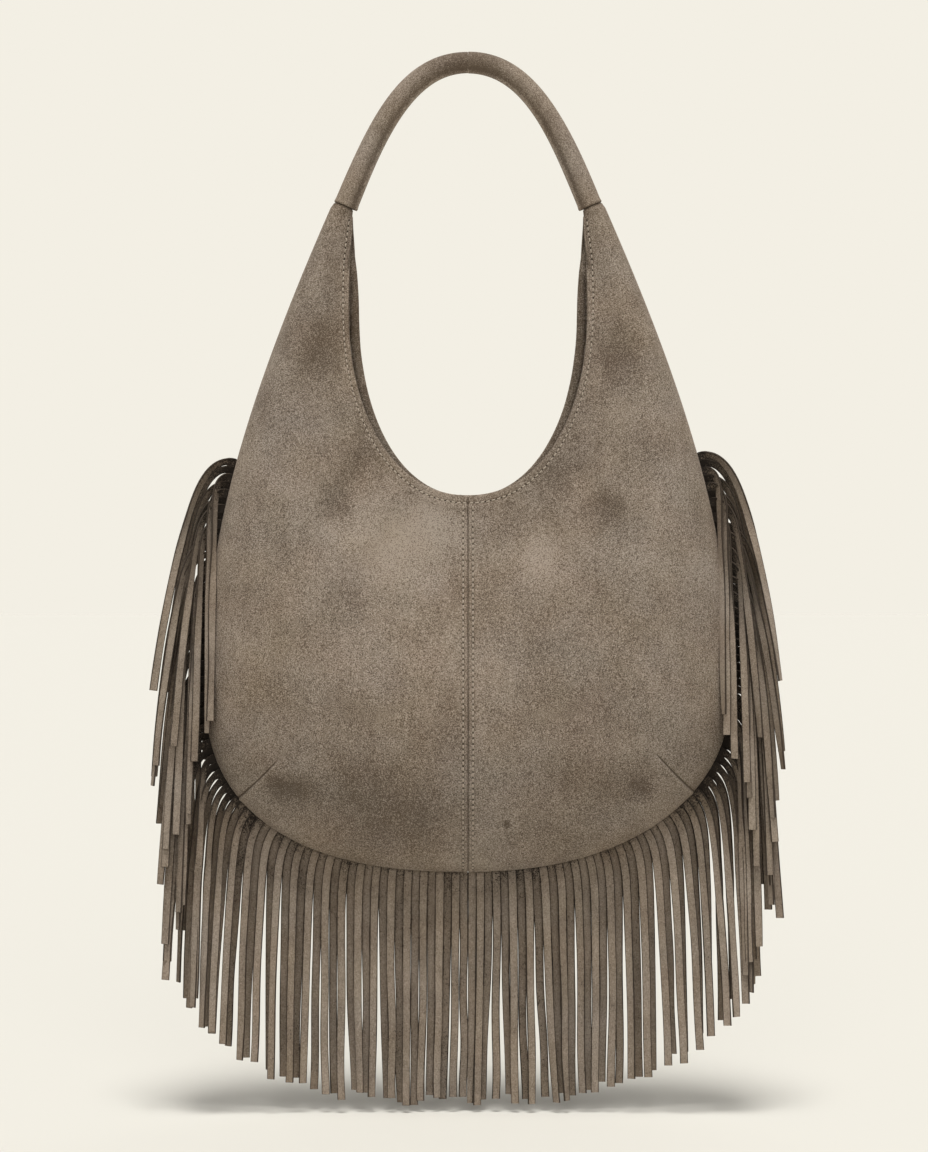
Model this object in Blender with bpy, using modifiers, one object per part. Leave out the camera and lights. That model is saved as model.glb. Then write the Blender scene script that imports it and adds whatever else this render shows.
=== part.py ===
"""Fringed suede shoulder bag: four suede panels, a two-piece lining, a piped handle and a cut fringe.

Axes: X across the front, +Y to the back, +Z up. The origin is the point on the underside of the
handle's crown that rests on a shoulder or a hook. Sizes are in metres.
"""

import math
import random

import bmesh
import bpy
from mathutils import Vector

MM = 0.001

# Material thicknesses, and the gap that sewn neighbours keep
SUEDE = 1.2 * MM
LINING = 0.7 * MM
CLEARANCE = 0.3 * MM

# Pouch outline, at the side seam
BODY_HALF_WIDTH = 184 * MM
WIDEST_Z = -430 * MM
BOTTOM_Z = -559 * MM
BELLY_FULLNESS_LEFT = 2.45
BELLY_FULLNESS_RIGHT = 2.2
FLANK_RISE = 100 * MM
FLANK_SHOULDER = 156 * MM
FLANK_SLOPE = 0.44

# Neckline of each face
NECK_WIDEST_Z = -166 * MM
NECK_BOTTOM_Z = -297 * MM
FRONT_NECK_HALF_WIDTH = 84 * MM
BACK_NECK_HALF_WIDTH = 77.5 * MM
NECK_FULLNESS = 2.15
NECK_BOW = 30 * MM

# How far each face stands off the seam plane, keyed by the share of the way from bottom to peak
BELLY_DEPTH = ((0.0, 40 * MM), (0.45, 37 * MM), (0.8, 20 * MM), (0.93, 11.5 * MM), (1.0, 7.4 * MM))
MOUTH_DEPTH = ((0.0, 14 * MM), (0.5, 15 * MM), (0.8, 11 * MM), (0.93, 5 * MM), (1.0, 1.0 * MM))
CREST = 0.44
SEAM_ROUNDNESS = 0.62
PEAK_ROUNDNESS = 0.5
PEAK_ROUNDS_FROM = 0.75
MOUTH_CLOSES_FROM = 0.9

# How the ribs run from the neckline to the side seam: even at first, then catching up towards the peak
NECK_EVEN_SHARE = 0.45
NECK_CATCH_UP = 2.6
RIB_BEND = 0.42

# Edges: turned hems, seam allowances and the corner darts
HEM_WIDTH = 8 * MM
HEM_TOP_SHARE = 0.85
SEAM_ALLOWANCE = 7 * MM
ALLOWANCE_TRIM = 0.6
ALLOWANCE_TRIM_FROM = 0.8
FLAP_REACH = 0.9
DART_HALF_WIDTH = 1.8 * MM
DART_DEPTH = 0.9 * MM
DART_SHARE = 0.285
DART_TIP = 0.845

# Lining
LINING_TOP_SHARE = 0.8
LINING_INSET = 3 * MM

# Fringe
STRIP_WIDTH = 5.1 * MM
STRIP_THICKNESS = 1.25 * MM
SLIT = 0.4 * MM
STRIP_LENGTH_BOTTOM = 160 * MM
STRIP_LENGTH_TOP = 178 * MM
STRIP_UNEVENNESS = 4 * MM
FRINGE_TOP_Z = -269 * MM
SEAM_CLOSING = 0.08
STRIP_SEED = 5
HEADER_DEPTH = 6.5 * MM
STIFF_ROOT = 3 * MM
LONGEST_TURN = 24 * MM
LONGEST_TURN_AT_WIDEST = 13.5 * MM
SHORTEST_TURN = 9 * MM
CORNER_TURN = 12 * MM
OUTWARD_LEAN = math.radians(7)
SIDE_TILT = math.radians(60)
SIDE_TILT_BLEND = math.radians(15)
BOTTOM_TILT = math.radians(25)
SPREAD_PER_DROP = 0.16
SPREAD_AT_BOTTOM = 0.015
STEP_APART = 0.95 * MM
DRIFT = 0.9
DRIFT_POWER = 1.5
SIDE_BENDS = (5 * MM, 15 * MM, 32 * MM, 75 * MM)
BOTTOM_BENDS = (6 * MM, 60 * MM)
TRACE_STEP = 0.5 * MM

# Handle
HANDLE_END_HALF_SPAN = 86.8 * MM
HANDLE_END_Z = -93 * MM
HANDLE_END_SLOPE = 22.0
CROWN_PULL = 43 * MM
END_PULL = 60 * MM
COVER_RADIUS_CROWN = 6.3 * MM
COVER_RADIUS_END = 7.2 * MM
COVER_FLANGE = 2.3 * MM
COVER_SECTIONS = 10
COVER_FACETS = 10
CORE_POINTS = 21
PEAK_TUCK = 8 * MM
PEAK_EDGE_GAP = 0.7 * MM
HORN_DROP = 5 * MM
HORN_HALF_WIDTH = 8.2 * MM

# The grid of each half panel, as shares of its length and of its ribs
SHARES_BELOW_DART = (0.0, 0.05, 0.13, 0.21)
SHARES_ABOVE_DART = (0.345, 0.42, 0.52, 0.64, 0.78, 0.89, 1.0)
ACROSS = (0.0, 0.17, 0.4, 0.62, DART_TIP, 0.93, 0.975, 1.0)
DIRECTION_REACH = 1.5 * MM
NORMAL_STEP = 0.004

OUTWARD_FRONT = -1
OUTWARD_BACK = 1
LEFT = -1
RIGHT = 1


def clear_scene():
    for thing in list(bpy.data.objects):
        bpy.data.objects.remove(thing, do_unlink=True)


def make_material(name, colour, roughness):
    material = bpy.data.materials.new(name)
    material.use_nodes = True
    shader = material.node_tree.nodes["Principled BSDF"]
    shader.inputs["Base Color"].default_value = (*colour, 1.0)
    shader.inputs["Roughness"].default_value = roughness
    shader.inputs["Metallic"].default_value = 0.0
    return material


def smoothstep(share):
    share = min(max(share, 0.0), 1.0)
    return share * share * (3 - 2 * share)


def keyed(keys, at):
    """A smooth curve through the (place, value) keys."""
    last = len(keys) - 2
    k = next((k for k in range(last + 1) if at <= keys[k + 1][0]), last)
    (x0, y0), (x1, y1) = keys[k], keys[k + 1]
    before, after = keys[max(k - 1, 0)], keys[min(k + 2, last + 1)]
    slope0 = (y1 - before[1]) / (x1 - before[0])
    slope1 = (after[1] - y0) / (after[0] - x0)
    t = (at - x0) / (x1 - x0)
    span = x1 - x0
    start = (2 * t**3 - 3 * t**2 + 1) * y0 + (t**3 - 2 * t**2 + t) * slope0 * span
    return start + (3 * t**2 - 2 * t**3) * y1 + (t**3 - t**2) * slope1 * span


def bezier(p0, p1, p2, p3, steps=48):
    points = []
    for k in range(steps + 1):
        t = k / steps
        points.append((1 - t) ** 3 * p0 + 3 * t * (1 - t) ** 2 * p1 + 3 * t * t * (1 - t) * p2 + t**3 * p3)
    return points


def quarter_superellipse(half_width, widest_z, lowest_z, fullness, steps=96):
    """From the lowest point, on the middle, out to the widest."""
    points = []
    for k in range(steps + 1):
        angle = math.pi / 2 * k / steps
        x = half_width * abs(math.sin(angle)) ** (2 / fullness)
        z = widest_z - (widest_z - lowest_z) * abs(math.cos(angle)) ** (2 / fullness)
        points.append(Vector((x, 0, z)))
    return points


class Line:
    """A run of points in the seam plane that can be read by length."""

    def __init__(self, points):
        self.points = [points[0]]
        self.lengths = [0.0]
        for point in points[1:]:
            step = (point - self.points[-1]).length
            if step > 1e-7:
                self.points.append(point)
                self.lengths.append(self.lengths[-1] + step)
        self.length = self.lengths[-1]

    def at(self, distance):
        distance = min(max(distance, 0.0), self.length)
        low, high = 0, len(self.lengths) - 1
        while high - low > 1:
            middle = (low + high) // 2
            if self.lengths[middle] <= distance:
                low = middle
            else:
                high = middle
        share = (distance - self.lengths[low]) / (self.lengths[high] - self.lengths[low])
        return self.points[low].lerp(self.points[high], share)

    def direction(self, distance):
        ahead, behind = self.at(distance + DIRECTION_REACH), self.at(distance - DIRECTION_REACH)
        return (ahead - behind).normalized()

    def outward(self, distance):
        """Square to the line in the seam plane, away from the pouch's middle."""
        along = self.direction(distance)
        return Vector((along.z, 0, -along.x))

    def distance_at_height(self, z):
        """Where the line, on its way up, passes a height."""
        k = next(k for k, point in enumerate(self.points) if point.z >= z)
        return self.lengths[k]


# Handle centreline as a half, with x outwards: crown to end
CROWN = Vector((0, 0, COVER_RADIUS_CROWN + COVER_FLANGE))
HANDLE_END = Vector((HANDLE_END_HALF_SPAN, 0, HANDLE_END_Z))
END_TILT = math.radians(HANDLE_END_SLOPE)
HANDLE_DOWN = Vector((math.sin(END_TILT), 0, -math.cos(END_TILT)))
HANDLE_OUT = Vector((math.cos(END_TILT), 0, math.sin(END_TILT)))
CROWN_CONTROL = CROWN + Vector((CROWN_PULL, 0, 0))
END_CONTROL = HANDLE_END - HANDLE_DOWN * END_PULL
HANDLE_LINE = Line(bezier(CROWN, CROWN_CONTROL, END_CONTROL, HANDLE_END))
PEAK_RADIUS = (COVER_RADIUS_END - SUEDE) * math.cos(math.pi / COVER_FACETS) - CLEARANCE
HORN_TOP = HANDLE_END + HANDLE_DOWN * HORN_DROP


def side_seam(fullness):
    """Half of the pouch's outline, from the bottom's middle up to the top of the horn."""
    belly = quarter_superellipse(BODY_HALF_WIDTH, WIDEST_Z, BOTTOM_Z, fullness)
    top = HORN_TOP + HANDLE_OUT * HORN_HALF_WIDTH
    shoulder = top + Vector((FLANK_SLOPE, 0, -1)).normalized() * FLANK_SHOULDER
    flank = bezier(belly[-1], belly[-1] + Vector((0, 0, FLANK_RISE)), shoulder, top)
    return Line(belly + flank)


def neckline(half_width):
    """Half of a face's neck edge, from its middle up to the top of the horn."""
    bowl = quarter_superellipse(half_width, NECK_WIDEST_Z, NECK_BOTTOM_Z, NECK_FULLNESS)
    top = HORN_TOP - HANDLE_OUT * HORN_HALF_WIDTH
    rise = Vector((0, 0, NECK_BOW))
    return Line(bowl + bezier(bowl[-1], bowl[-1] + rise, top - rise * 0.5, top))


class Half:
    """The left or right half of the front or back of the pouch, as a surface.

    share runs from the bottom's middle (0) to the top of the horn (1); across runs from the
    neckline (0) to the side seam (1).
    """

    def __init__(self, side, face):
        self.side = side
        self.face = face
        self.seam = side_seam(BELLY_FULLNESS_LEFT if side == LEFT else BELLY_FULLNESS_RIGHT)
        self.neck = neckline(FRONT_NECK_HALF_WIDTH if face == OUTWARD_FRONT else BACK_NECK_HALF_WIDTH)
        self.fringe_end = self.seam.distance_at_height(FRINGE_TOP_Z) / self.seam.length

    def rib_ends(self, share):
        neck_share = NECK_EVEN_SHARE * share + (1 - NECK_EVEN_SHARE) * share**NECK_CATCH_UP
        return self.neck.at(neck_share * self.neck.length), self.seam.at(share * self.seam.length)

    def rib_length(self, share):
        start, end = self.rib_ends(share)
        return (end - start).length

    def in_plane(self, share, across):
        """The surface's point, dropped on the seam plane."""
        start, end = self.rib_ends(share)
        outward = self.seam.outward(share * self.seam.length)
        bend = end - outward * (end - start).length * RIB_BEND
        point = (1 - across) ** 2 * start + 2 * across * (1 - across) * bend + across**2 * end
        return Vector((max(point.x, CLEARANCE / 2), 0, point.z))

    def seam_gap(self, share):
        """Half of the room between the two faces at the side seam, where the fringe is sewn in.

        It closes over one length of seam that starts the same length above the fringe.
        """
        closing = smoothstep((share - self.fringe_end) / SEAM_CLOSING - 1)
        return (STRIP_THICKNESS / 2 + CLEARANCE) * (1 - closing) + CLEARANCE / 2 * closing

    def depth(self, share, across):
        """How far the surface stands off the seam plane."""
        crest_depth = keyed(BELLY_DEPTH, share)
        mouth = keyed(MOUTH_DEPTH, share)
        gap = self.seam_gap(share)
        from_seam = 1 - across
        rounding = smoothstep((share - PEAK_ROUNDS_FROM) / (1 - PEAK_ROUNDS_FROM))
        roundness = SEAM_ROUNDNESS + (PEAK_ROUNDNESS - SEAM_ROUNDNESS) * rounding
        if from_seam < CREST:
            rise = (1 - (1 - from_seam / CREST) ** 2) ** roundness
            return gap + (crest_depth - gap) * rise
        fall = (from_seam - CREST) / (1 - CREST)
        round_off = 1 - math.sqrt(max(1 - fall * fall, 0.0))
        closed = smoothstep((share - MOUTH_CLOSES_FROM) / (1 - MOUTH_CLOSES_FROM))
        return crest_depth + (mouth - crest_depth) * (smoothstep(fall) * (1 - closed) + round_off * closed)

    def placed(self, point, depth):
        return Vector((self.side * point.x, self.face * depth, point.z))

    def surface(self, share, across):
        return self.placed(self.in_plane(share, across), self.depth(share, across))

    def normal(self, share, across):
        """Unit vector out of the bag."""
        low_s, high_s = max(share - NORMAL_STEP, 0.0), min(share + NORMAL_STEP, 1.0)
        low_a, high_a = max(across - NORMAL_STEP, 0.0), min(across + NORMAL_STEP, 1.0)
        along = self.surface(high_s, across) - self.surface(low_s, across)
        over = self.surface(share, high_a) - self.surface(share, low_a)
        normal = along.cross(over).normalized()
        outward = self.placed(self.seam.outward(share * self.seam.length), 1.0)
        return -normal if normal.dot(outward) < 0 else normal

    def under(self, share, across, drop):
        """A point below the surface, inside the bag."""
        point = self.surface(share, across) - self.normal(share, across) * drop
        point.x = self.side * max(self.side * point.x, CLEARANCE / 2)
        return point

    def horn_section(self, down, across):
        """The peak's half pipe, at a distance below the handle's end, or above it if negative."""
        start = math.asin(PEAK_EDGE_GAP / PEAK_RADIUS)
        around = start + (math.pi - 2 * start) * (1 - across)
        centre = HANDLE_END + HANDLE_DOWN * down
        point = centre + HANDLE_OUT * PEAK_RADIUS * math.cos(around)
        return self.placed(point, PEAK_RADIUS * math.sin(around))


def sew(bm, first, second):
    """Quads between two rows of vertices; a None breaks the strip."""
    for k in range(len(first) - 1):
        corners = (first[k], first[k + 1], second[k + 1], second[k])
        if None not in corners:
            bm.faces.new(corners)


def thick_object(name, bm, material, collection, thickness, outward, offset=-1.0):
    """A solid: the open surface, its faces turned to the outward side and given a thickness."""
    mesh = bpy.data.meshes.new(name)
    bmesh.ops.recalc_face_normals(bm, faces=bm.faces)
    bm.faces.ensure_lookup_table()
    if bm.faces[0].normal.dot(outward) < 0:
        bmesh.ops.reverse_faces(bm, faces=bm.faces)
    bm.to_mesh(mesh)
    bm.free()
    mesh.shade_smooth()
    mesh.materials.append(material)
    obj = bpy.data.objects.new(name, mesh)
    collection.objects.link(obj)
    solidify = obj.modifiers.new("Thickness", "SOLIDIFY")
    solidify.thickness = thickness
    solidify.offset = offset
    return obj


def panel_rows(half):
    """The (share, dart depth) of each row of the grid, closest at the dart."""
    dart = DART_HALF_WIDTH / half.seam.length
    rows = [(share, 0.0) for share in SHARES_BELOW_DART]
    rows += [(DART_SHARE - dart, 0.0), (DART_SHARE, DART_DEPTH), (DART_SHARE + dart, 0.0)]
    return rows + [(share, 0.0) for share in SHARES_ABOVE_DART]


def build_panel(name, side, face, material, collection):
    """One quarter of the pouch, with its hem, seam allowances, dart and the peak tucked in the handle."""
    half = Half(side, face)
    bm = bmesh.new()
    fold = 2 * SUEDE + CLEARANCE
    rows = []
    hem_folds, hem_ends, allowance = [], [], []
    for share, dart_depth in panel_rows(half):
        row = []
        for across in ACROSS:
            sink = dart_depth if DART_TIP < across < 1.0 else 0.0
            row.append(bm.verts.new(half.under(share, across, sink) if sink else half.surface(share, across)))
        rows.append(row)
        hemmed = 0.0 < share < HEM_TOP_SHARE
        turned_under = half.under(share, 0.0, fold)
        next_under = half.under(share, ACROSS[1], fold)
        reach = min(HEM_WIDTH / (next_under - turned_under).length, FLAP_REACH)
        hem_folds.append(bm.verts.new(turned_under) if hemmed else None)
        hem_ends.append(bm.verts.new(turned_under.lerp(next_under, reach)) if hemmed else None)
        seam_point = half.seam.at(share * half.seam.length)
        trim = ALLOWANCE_TRIM * smoothstep((share - ALLOWANCE_TRIM_FROM) / (1 - ALLOWANCE_TRIM_FROM))
        width = SEAM_ALLOWANCE * (1 - trim)
        turned = seam_point - half.seam.outward(share * half.seam.length) * width
        inside = half.placed(turned, half.seam_gap(share))
        inside.x = side * max(side * inside.x, CLEARANCE / 2)
        allowance.append(bm.verts.new(inside))
    for first, second in zip(rows, rows[1:]):
        sew(bm, first, second)
    sew(bm, [row[0] for row in rows], hem_folds)
    sew(bm, hem_folds, hem_ends)
    sew(bm, [row[-1] for row in rows], allowance)
    middle_folds, middle_ends = [], []
    for k, across in enumerate(ACROSS):
        kept = 0 < k < len(ACROSS) - 2
        turned_under = half.under(0.0, across, fold)
        next_under = half.under(SHARES_BELOW_DART[1], across, fold)
        reach = min(SEAM_ALLOWANCE / (next_under - turned_under).length, FLAP_REACH)
        middle_folds.append(bm.verts.new(turned_under) if kept else None)
        middle_ends.append(bm.verts.new(turned_under.lerp(next_under, reach)) if kept else None)
    sew(bm, rows[0], middle_folds)
    sew(bm, middle_folds, middle_ends)
    below = rows[-1]
    for down in (CLEARANCE, -PEAK_TUCK):
        section = [bm.verts.new(half.horn_section(down, across)) for across in ACROSS]
        sew(bm, below, section)
        below = section
    bmesh.ops.delete(bm, geom=[v for v in bm.verts if not v.link_faces], context="VERTS")
    return thick_object(name, bm, material, collection, SUEDE, Vector((0, face, 0)))


def build_lining(name, face, material, collection):
    """One face of the lining, hung from the neck hem and closed along its own edge inside the seam."""
    bm = bmesh.new()
    drop = 2 * SUEDE + 2 * CLEARANCE
    shares = [s for s in SHARES_BELOW_DART + (DART_SHARE,) + SHARES_ABOVE_DART if s <= LINING_TOP_SHARE]
    below = None
    for side in (LEFT, RIGHT):
        half = Half(side, face)
        run = list(reversed(shares)) if side == LEFT else shares[1:]
        for share in run:
            ribs = [half.under(share, across, drop) for across in ACROSS[1:-2]]
            inset = half.seam.outward(share * half.seam.length) * (SEAM_ALLOWANCE + LINING_INSET)
            edge = half.seam.at(share * half.seam.length) - inset
            ribs.append(half.placed(edge, LINING / 2 + CLEARANCE))
            if share == 0.0:
                for rib in ribs:
                    rib.x = 0.0
            row = [bm.verts.new(rib) for rib in ribs]
            if below:
                sew(bm, below, row)
            below = row
    return thick_object(name, bm, material, collection, LINING, Vector((0, face, 0)))


def strip_turn(tilt, height, rng):
    """How long a strip takes to turn down: widest at the top of the fringe, least at the corners."""
    lowered = smoothstep((FRINGE_TOP_Z - height) / (FRINGE_TOP_Z - WIDEST_Z))
    longest = LONGEST_TURN + (LONGEST_TURN_AT_WIDEST - LONGEST_TURN) * lowered
    on_side = smoothstep((tilt - SIDE_TILT) / SIDE_TILT_BLEND)
    return CORNER_TURN * (1 - on_side) + rng.uniform(SHORTEST_TURN, longest) * on_side


def strip_path(root, outward, length, layer, rng):
    """Pairs of edge points, from the seam to a strip's cut end.

    The strip stands out square to the seam, turns down under its own weight, and moves away from
    the seam plane in step with its drop, so that it hangs over the strips that are rooted below.
    """
    tilt = math.atan2(outward.x, -outward.z)
    turn = strip_turn(tilt, root.z, rng)
    steep = smoothstep(tilt / SIDE_TILT)
    spread = SPREAD_AT_BOTTOM + (SPREAD_PER_DROP - SPREAD_AT_BOTTOM) * steep
    lean = OUTWARD_LEAN * steep * turn / LONGEST_TURN
    room = (STRIP_WIDTH + SLIT) * math.cos(min(tilt, math.pi / 2)) - (STRIP_WIDTH + SLIT) / 2
    drift = rng.uniform(-DRIFT, DRIFT) * max(room, 0.0)
    marks = (*(BOTTOM_BENDS if tilt < BOTTOM_TILT else SIDE_BENDS), length)
    position = root.copy()
    travelled = 0.0
    stations = []
    for mark in marks:
        while travelled < mark:
            pace = min(TRACE_STEP, mark - travelled)
            angle = lean + (tilt - lean) * math.exp(-max(travelled - STIFF_ROOT, 0.0) / turn)
            position += Vector((math.sin(angle), 0, -math.cos(angle))) * pace
            travelled += pace
        aside = Vector((drift * (travelled / length) ** DRIFT_POWER, 0, 0))
        half_width = Vector((math.cos(angle), 0, math.sin(angle))) * STRIP_WIDTH / 2
        edges = (position + aside - half_width, position + aside + half_width)
        for edge in edges:
            edge.y = layer * (STEP_APART + spread * (root.z - edge.z))
        stations.append(edges)
    return stations


def build_fringe(name, side, material, collection):
    """A comb of suede: a header inside the side seam and a row of cut strips hanging from it."""
    rng = random.Random(STRIP_SEED + side)
    seam = Half(side, OUTWARD_FRONT).seam
    pitch = STRIP_WIDTH + SLIT
    fringe_length = seam.distance_at_height(FRINGE_TOP_Z)
    count = 2 * int(fringe_length / pitch / 2)
    first = SLIT / 2 + CLEARANCE
    bm = bmesh.new()

    def vertex(point):
        return bm.verts.new((side * point.x, point.y, point.z))

    roots = []
    for k in range(count):
        start, end = first + k * pitch, first + k * pitch + STRIP_WIDTH
        middle = (start + end) / 2
        outward = seam.outward(middle)
        near, far = vertex(seam.at(start)), vertex(seam.at(end))
        roots += [near, far]
        share = middle / fringe_length
        length = STRIP_LENGTH_BOTTOM + (STRIP_LENGTH_TOP - STRIP_LENGTH_BOTTOM) * share
        length += rng.uniform(-STRIP_UNEVENNESS, STRIP_UNEVENNESS)
        layer = -1 if k % 2 else 1
        previous = (near, far)
        for edges in strip_path(seam.at(middle), outward, length, layer, rng):
            row = (vertex(edges[0]), vertex(edges[1]))
            bm.faces.new((previous[0], previous[1], row[1], row[0]))
            previous = row
    inner = []
    for k in range(0, count + 1, 2):
        distance = first + k * pitch
        inner.append(vertex(seam.at(distance) - seam.outward(distance) * HEADER_DEPTH))
    for k in range(count // 2):
        run = roots[4 * k : 4 * k + 5] if 4 * k + 4 < len(roots) else roots[4 * k :]
        bm.faces.new([inner[k], *run, inner[k + 1]])
    return thick_object(name, bm, material, collection, STRIP_THICKNESS, Vector((0, -1, 0)), 0.0)


def handle_frame(distance):
    """A point of the handle's centreline, and the direction to the inner side of its arc."""
    along = HANDLE_LINE.direction(distance)
    return HANDLE_LINE.at(distance), Vector((along.z, 0, -along.x))


def cover_profile(radius):
    """The tube's section, from one lip of its stitched allowance round to the other."""
    half_gap = SUEDE + CLEARANCE / 2
    start = math.asin(half_gap / radius)
    points = [(radius + COVER_FLANGE, half_gap)]
    for k in range(COVER_FACETS + 1):
        angle = start + (2 * math.pi - 2 * start) * k / COVER_FACETS
        points.append((radius * math.cos(angle), radius * math.sin(angle)))
    points.append((radius + COVER_FLANGE, -half_gap))
    return points


def build_cover(name, side, material, collection):
    """Half of the handle's suede tube, closed along its inner side and butted at the crown."""
    bm = bmesh.new()
    below = None
    start = CLEARANCE
    for k in range(COVER_SECTIONS + 1):
        distance = start + (HANDLE_LINE.length - start) * k / COVER_SECTIONS
        radius = COVER_RADIUS_CROWN + (COVER_RADIUS_END - COVER_RADIUS_CROWN) * distance / HANDLE_LINE.length
        centre, inner = handle_frame(distance)
        row = []
        for inward, sideways in cover_profile(radius):
            point = centre + inner * inward
            row.append(bm.verts.new((side * point.x, sideways, point.z)))
        if below:
            sew(bm, below, row)
        below = row
    return thick_object(name, bm, material, collection, SUEDE, Vector((0, 1, 0)))


def build_core(name, material, collection):
    """The rope filler inside the tube, ending above the two tucked peaks."""
    curve = bpy.data.curves.new(name, "CURVE")
    curve.dimensions = "3D"
    curve.bevel_depth = COVER_RADIUS_CROWN - SUEDE - CLEARANCE
    curve.bevel_resolution = 1
    curve.use_fill_caps = True
    spline = curve.splines.new("POLY")
    spline.points.add(CORE_POINTS - 1)
    reach = HANDLE_LINE.length - PEAK_TUCK - CLEARANCE
    for k in range(CORE_POINTS):
        distance = reach * (2 * k / (CORE_POINTS - 1) - 1)
        point, _ = handle_frame(abs(distance))
        spline.points[k].co = (math.copysign(point.x, distance), 0, point.z, 1)
    obj = bpy.data.objects.new(name, curve)
    obj.data.materials.append(material)
    collection.objects.link(obj)
    return obj


def build_bag():
    clear_scene()
    collection = bpy.data.collections.new("fringed_suede_bag")
    bpy.context.scene.collection.children.link(collection)
    suede = make_material("taupe_suede", (0.205, 0.165, 0.132), 0.95)
    fringe_suede = make_material("fringe_suede", (0.18, 0.145, 0.115), 0.95)
    lining_cloth = make_material("lining", (0.09, 0.072, 0.058), 0.9)
    rope = make_material("rope", (0.55, 0.5, 0.42), 0.9)
    build_panel("front_panel_left", LEFT, OUTWARD_FRONT, suede, collection)
    build_panel("front_panel_right", RIGHT, OUTWARD_FRONT, suede, collection)
    build_panel("back_panel_left", LEFT, OUTWARD_BACK, suede, collection)
    build_panel("back_panel_right", RIGHT, OUTWARD_BACK, suede, collection)
    build_lining("lining_front", OUTWARD_FRONT, lining_cloth, collection)
    build_lining("lining_back", OUTWARD_BACK, lining_cloth, collection)
    build_cover("handle_cover_left", LEFT, suede, collection)
    build_cover("handle_cover_right", RIGHT, suede, collection)
    build_core("handle_core", rope, collection)
    build_fringe("fringe_left", LEFT, fringe_suede, collection)
    build_fringe("fringe_right", RIGHT, fringe_suede, collection)


build_bag()
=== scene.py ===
import math
import random

import bmesh
import bpy
import numpy as np
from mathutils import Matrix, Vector


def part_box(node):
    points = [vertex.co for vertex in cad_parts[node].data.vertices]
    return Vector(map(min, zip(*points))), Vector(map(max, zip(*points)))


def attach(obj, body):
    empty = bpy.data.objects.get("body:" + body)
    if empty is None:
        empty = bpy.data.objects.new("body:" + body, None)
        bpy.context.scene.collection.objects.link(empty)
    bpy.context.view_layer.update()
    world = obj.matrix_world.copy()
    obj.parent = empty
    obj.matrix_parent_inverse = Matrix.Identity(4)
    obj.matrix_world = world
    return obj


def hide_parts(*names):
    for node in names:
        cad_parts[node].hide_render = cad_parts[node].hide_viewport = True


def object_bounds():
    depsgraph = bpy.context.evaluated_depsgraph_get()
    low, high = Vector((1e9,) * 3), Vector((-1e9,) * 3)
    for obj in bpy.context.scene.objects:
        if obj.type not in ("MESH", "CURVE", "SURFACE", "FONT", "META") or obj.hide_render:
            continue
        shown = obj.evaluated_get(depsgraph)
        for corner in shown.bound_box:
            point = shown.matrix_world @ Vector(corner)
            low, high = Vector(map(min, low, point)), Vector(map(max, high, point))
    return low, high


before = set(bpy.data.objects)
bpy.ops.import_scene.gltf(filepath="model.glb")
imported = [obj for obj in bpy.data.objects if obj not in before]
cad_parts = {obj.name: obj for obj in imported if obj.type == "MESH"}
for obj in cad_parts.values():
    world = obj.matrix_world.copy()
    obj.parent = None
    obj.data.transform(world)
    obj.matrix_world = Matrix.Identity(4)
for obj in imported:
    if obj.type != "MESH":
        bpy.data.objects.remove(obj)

MM = 0.001
cad_low, cad_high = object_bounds()


# The camera stands level with the middle of the bag and looks straight at its front.
# The photograph takes in 806 mm of height at the side seam's plane.
VIEW_HEIGHT = 806.4 * MM
VIEW_CENTRE = Vector((-2.8 * MM, 0, -352 * MM))
CAMERA_DISTANCE = 2.3
SENSOR = 36.0

camera_data = bpy.data.cameras.new("product_camera")
camera_data.sensor_width = SENSOR
camera_data.lens = SENSOR * CAMERA_DISTANCE / VIEW_HEIGHT
camera = bpy.data.objects.new("product_camera", camera_data)
camera.location = VIEW_CENTRE - Vector((0, CAMERA_DISTANCE, 0))
camera.rotation_euler = (math.radians(90), 0, 0)
bpy.context.scene.collection.objects.link(camera)
bpy.context.scene.camera = camera


# The studio is an ivory sweep, an even sky of soft light, wide lamps in front of the bag and behind it,
# and two above it that drop a soft shadow below the fringe.
IVORY = (0.896, 0.863, 0.776)
SKY_LIGHT = 0.19
# Each lamp's name, strength, spread in degrees and the way that its light goes
LAMPS = (
    ("front_lamp", 0.92, 38, Vector((-0.03, 1.0, -0.42)).normalized()),
    ("top_lamp_fore", 2.1, 21, Vector((0.0, 0.33, -1.0)).normalized()),
    ("top_lamp_aft", 1.2, 21, Vector((0.0, 0.18, -1.0)).normalized()),
    ("back_lamp", 0.7, 60, Vector((-0.2, -1.0, -0.35)).normalized()),
)
SPREAD_LOSS = 0.996
FLOOR_GLOW = 0.04
FLOOR_HALF_SIZE = 30.0
HANG_CLEARANCE = 4 * MM

bpy.context.scene.view_settings.view_transform = "Standard"
world = bpy.data.worlds.new("studio")
bpy.context.scene.world = world
world.use_nodes = True
tree = world.node_tree
sky = tree.nodes["Background"]
sky.inputs["Color"].default_value = (1, 1, 1, 1)
sky.inputs["Strength"].default_value = SKY_LIGHT
backdrop = tree.nodes.new("ShaderNodeBackground")
backdrop.inputs["Color"].default_value = (*IVORY, 1)
backdrop.inputs["Strength"].default_value = 1.0
rays = tree.nodes.new("ShaderNodeLightPath")
shows_backdrop = rays.outputs["Is Camera Ray"]
for ray in ("Is Glossy Ray", "Is Transmission Ray"):
    either = tree.nodes.new("ShaderNodeMath")
    either.operation = "MAXIMUM"
    tree.links.new(shows_backdrop, either.inputs[0])
    tree.links.new(rays.outputs[ray], either.inputs[1])
    shows_backdrop = either.outputs[0]
surround = tree.nodes.new("ShaderNodeMixShader")
tree.links.new(shows_backdrop, surround.inputs["Fac"])
tree.links.new(sky.outputs[0], surround.inputs[1])
tree.links.new(backdrop.outputs[0], surround.inputs[2])
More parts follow.
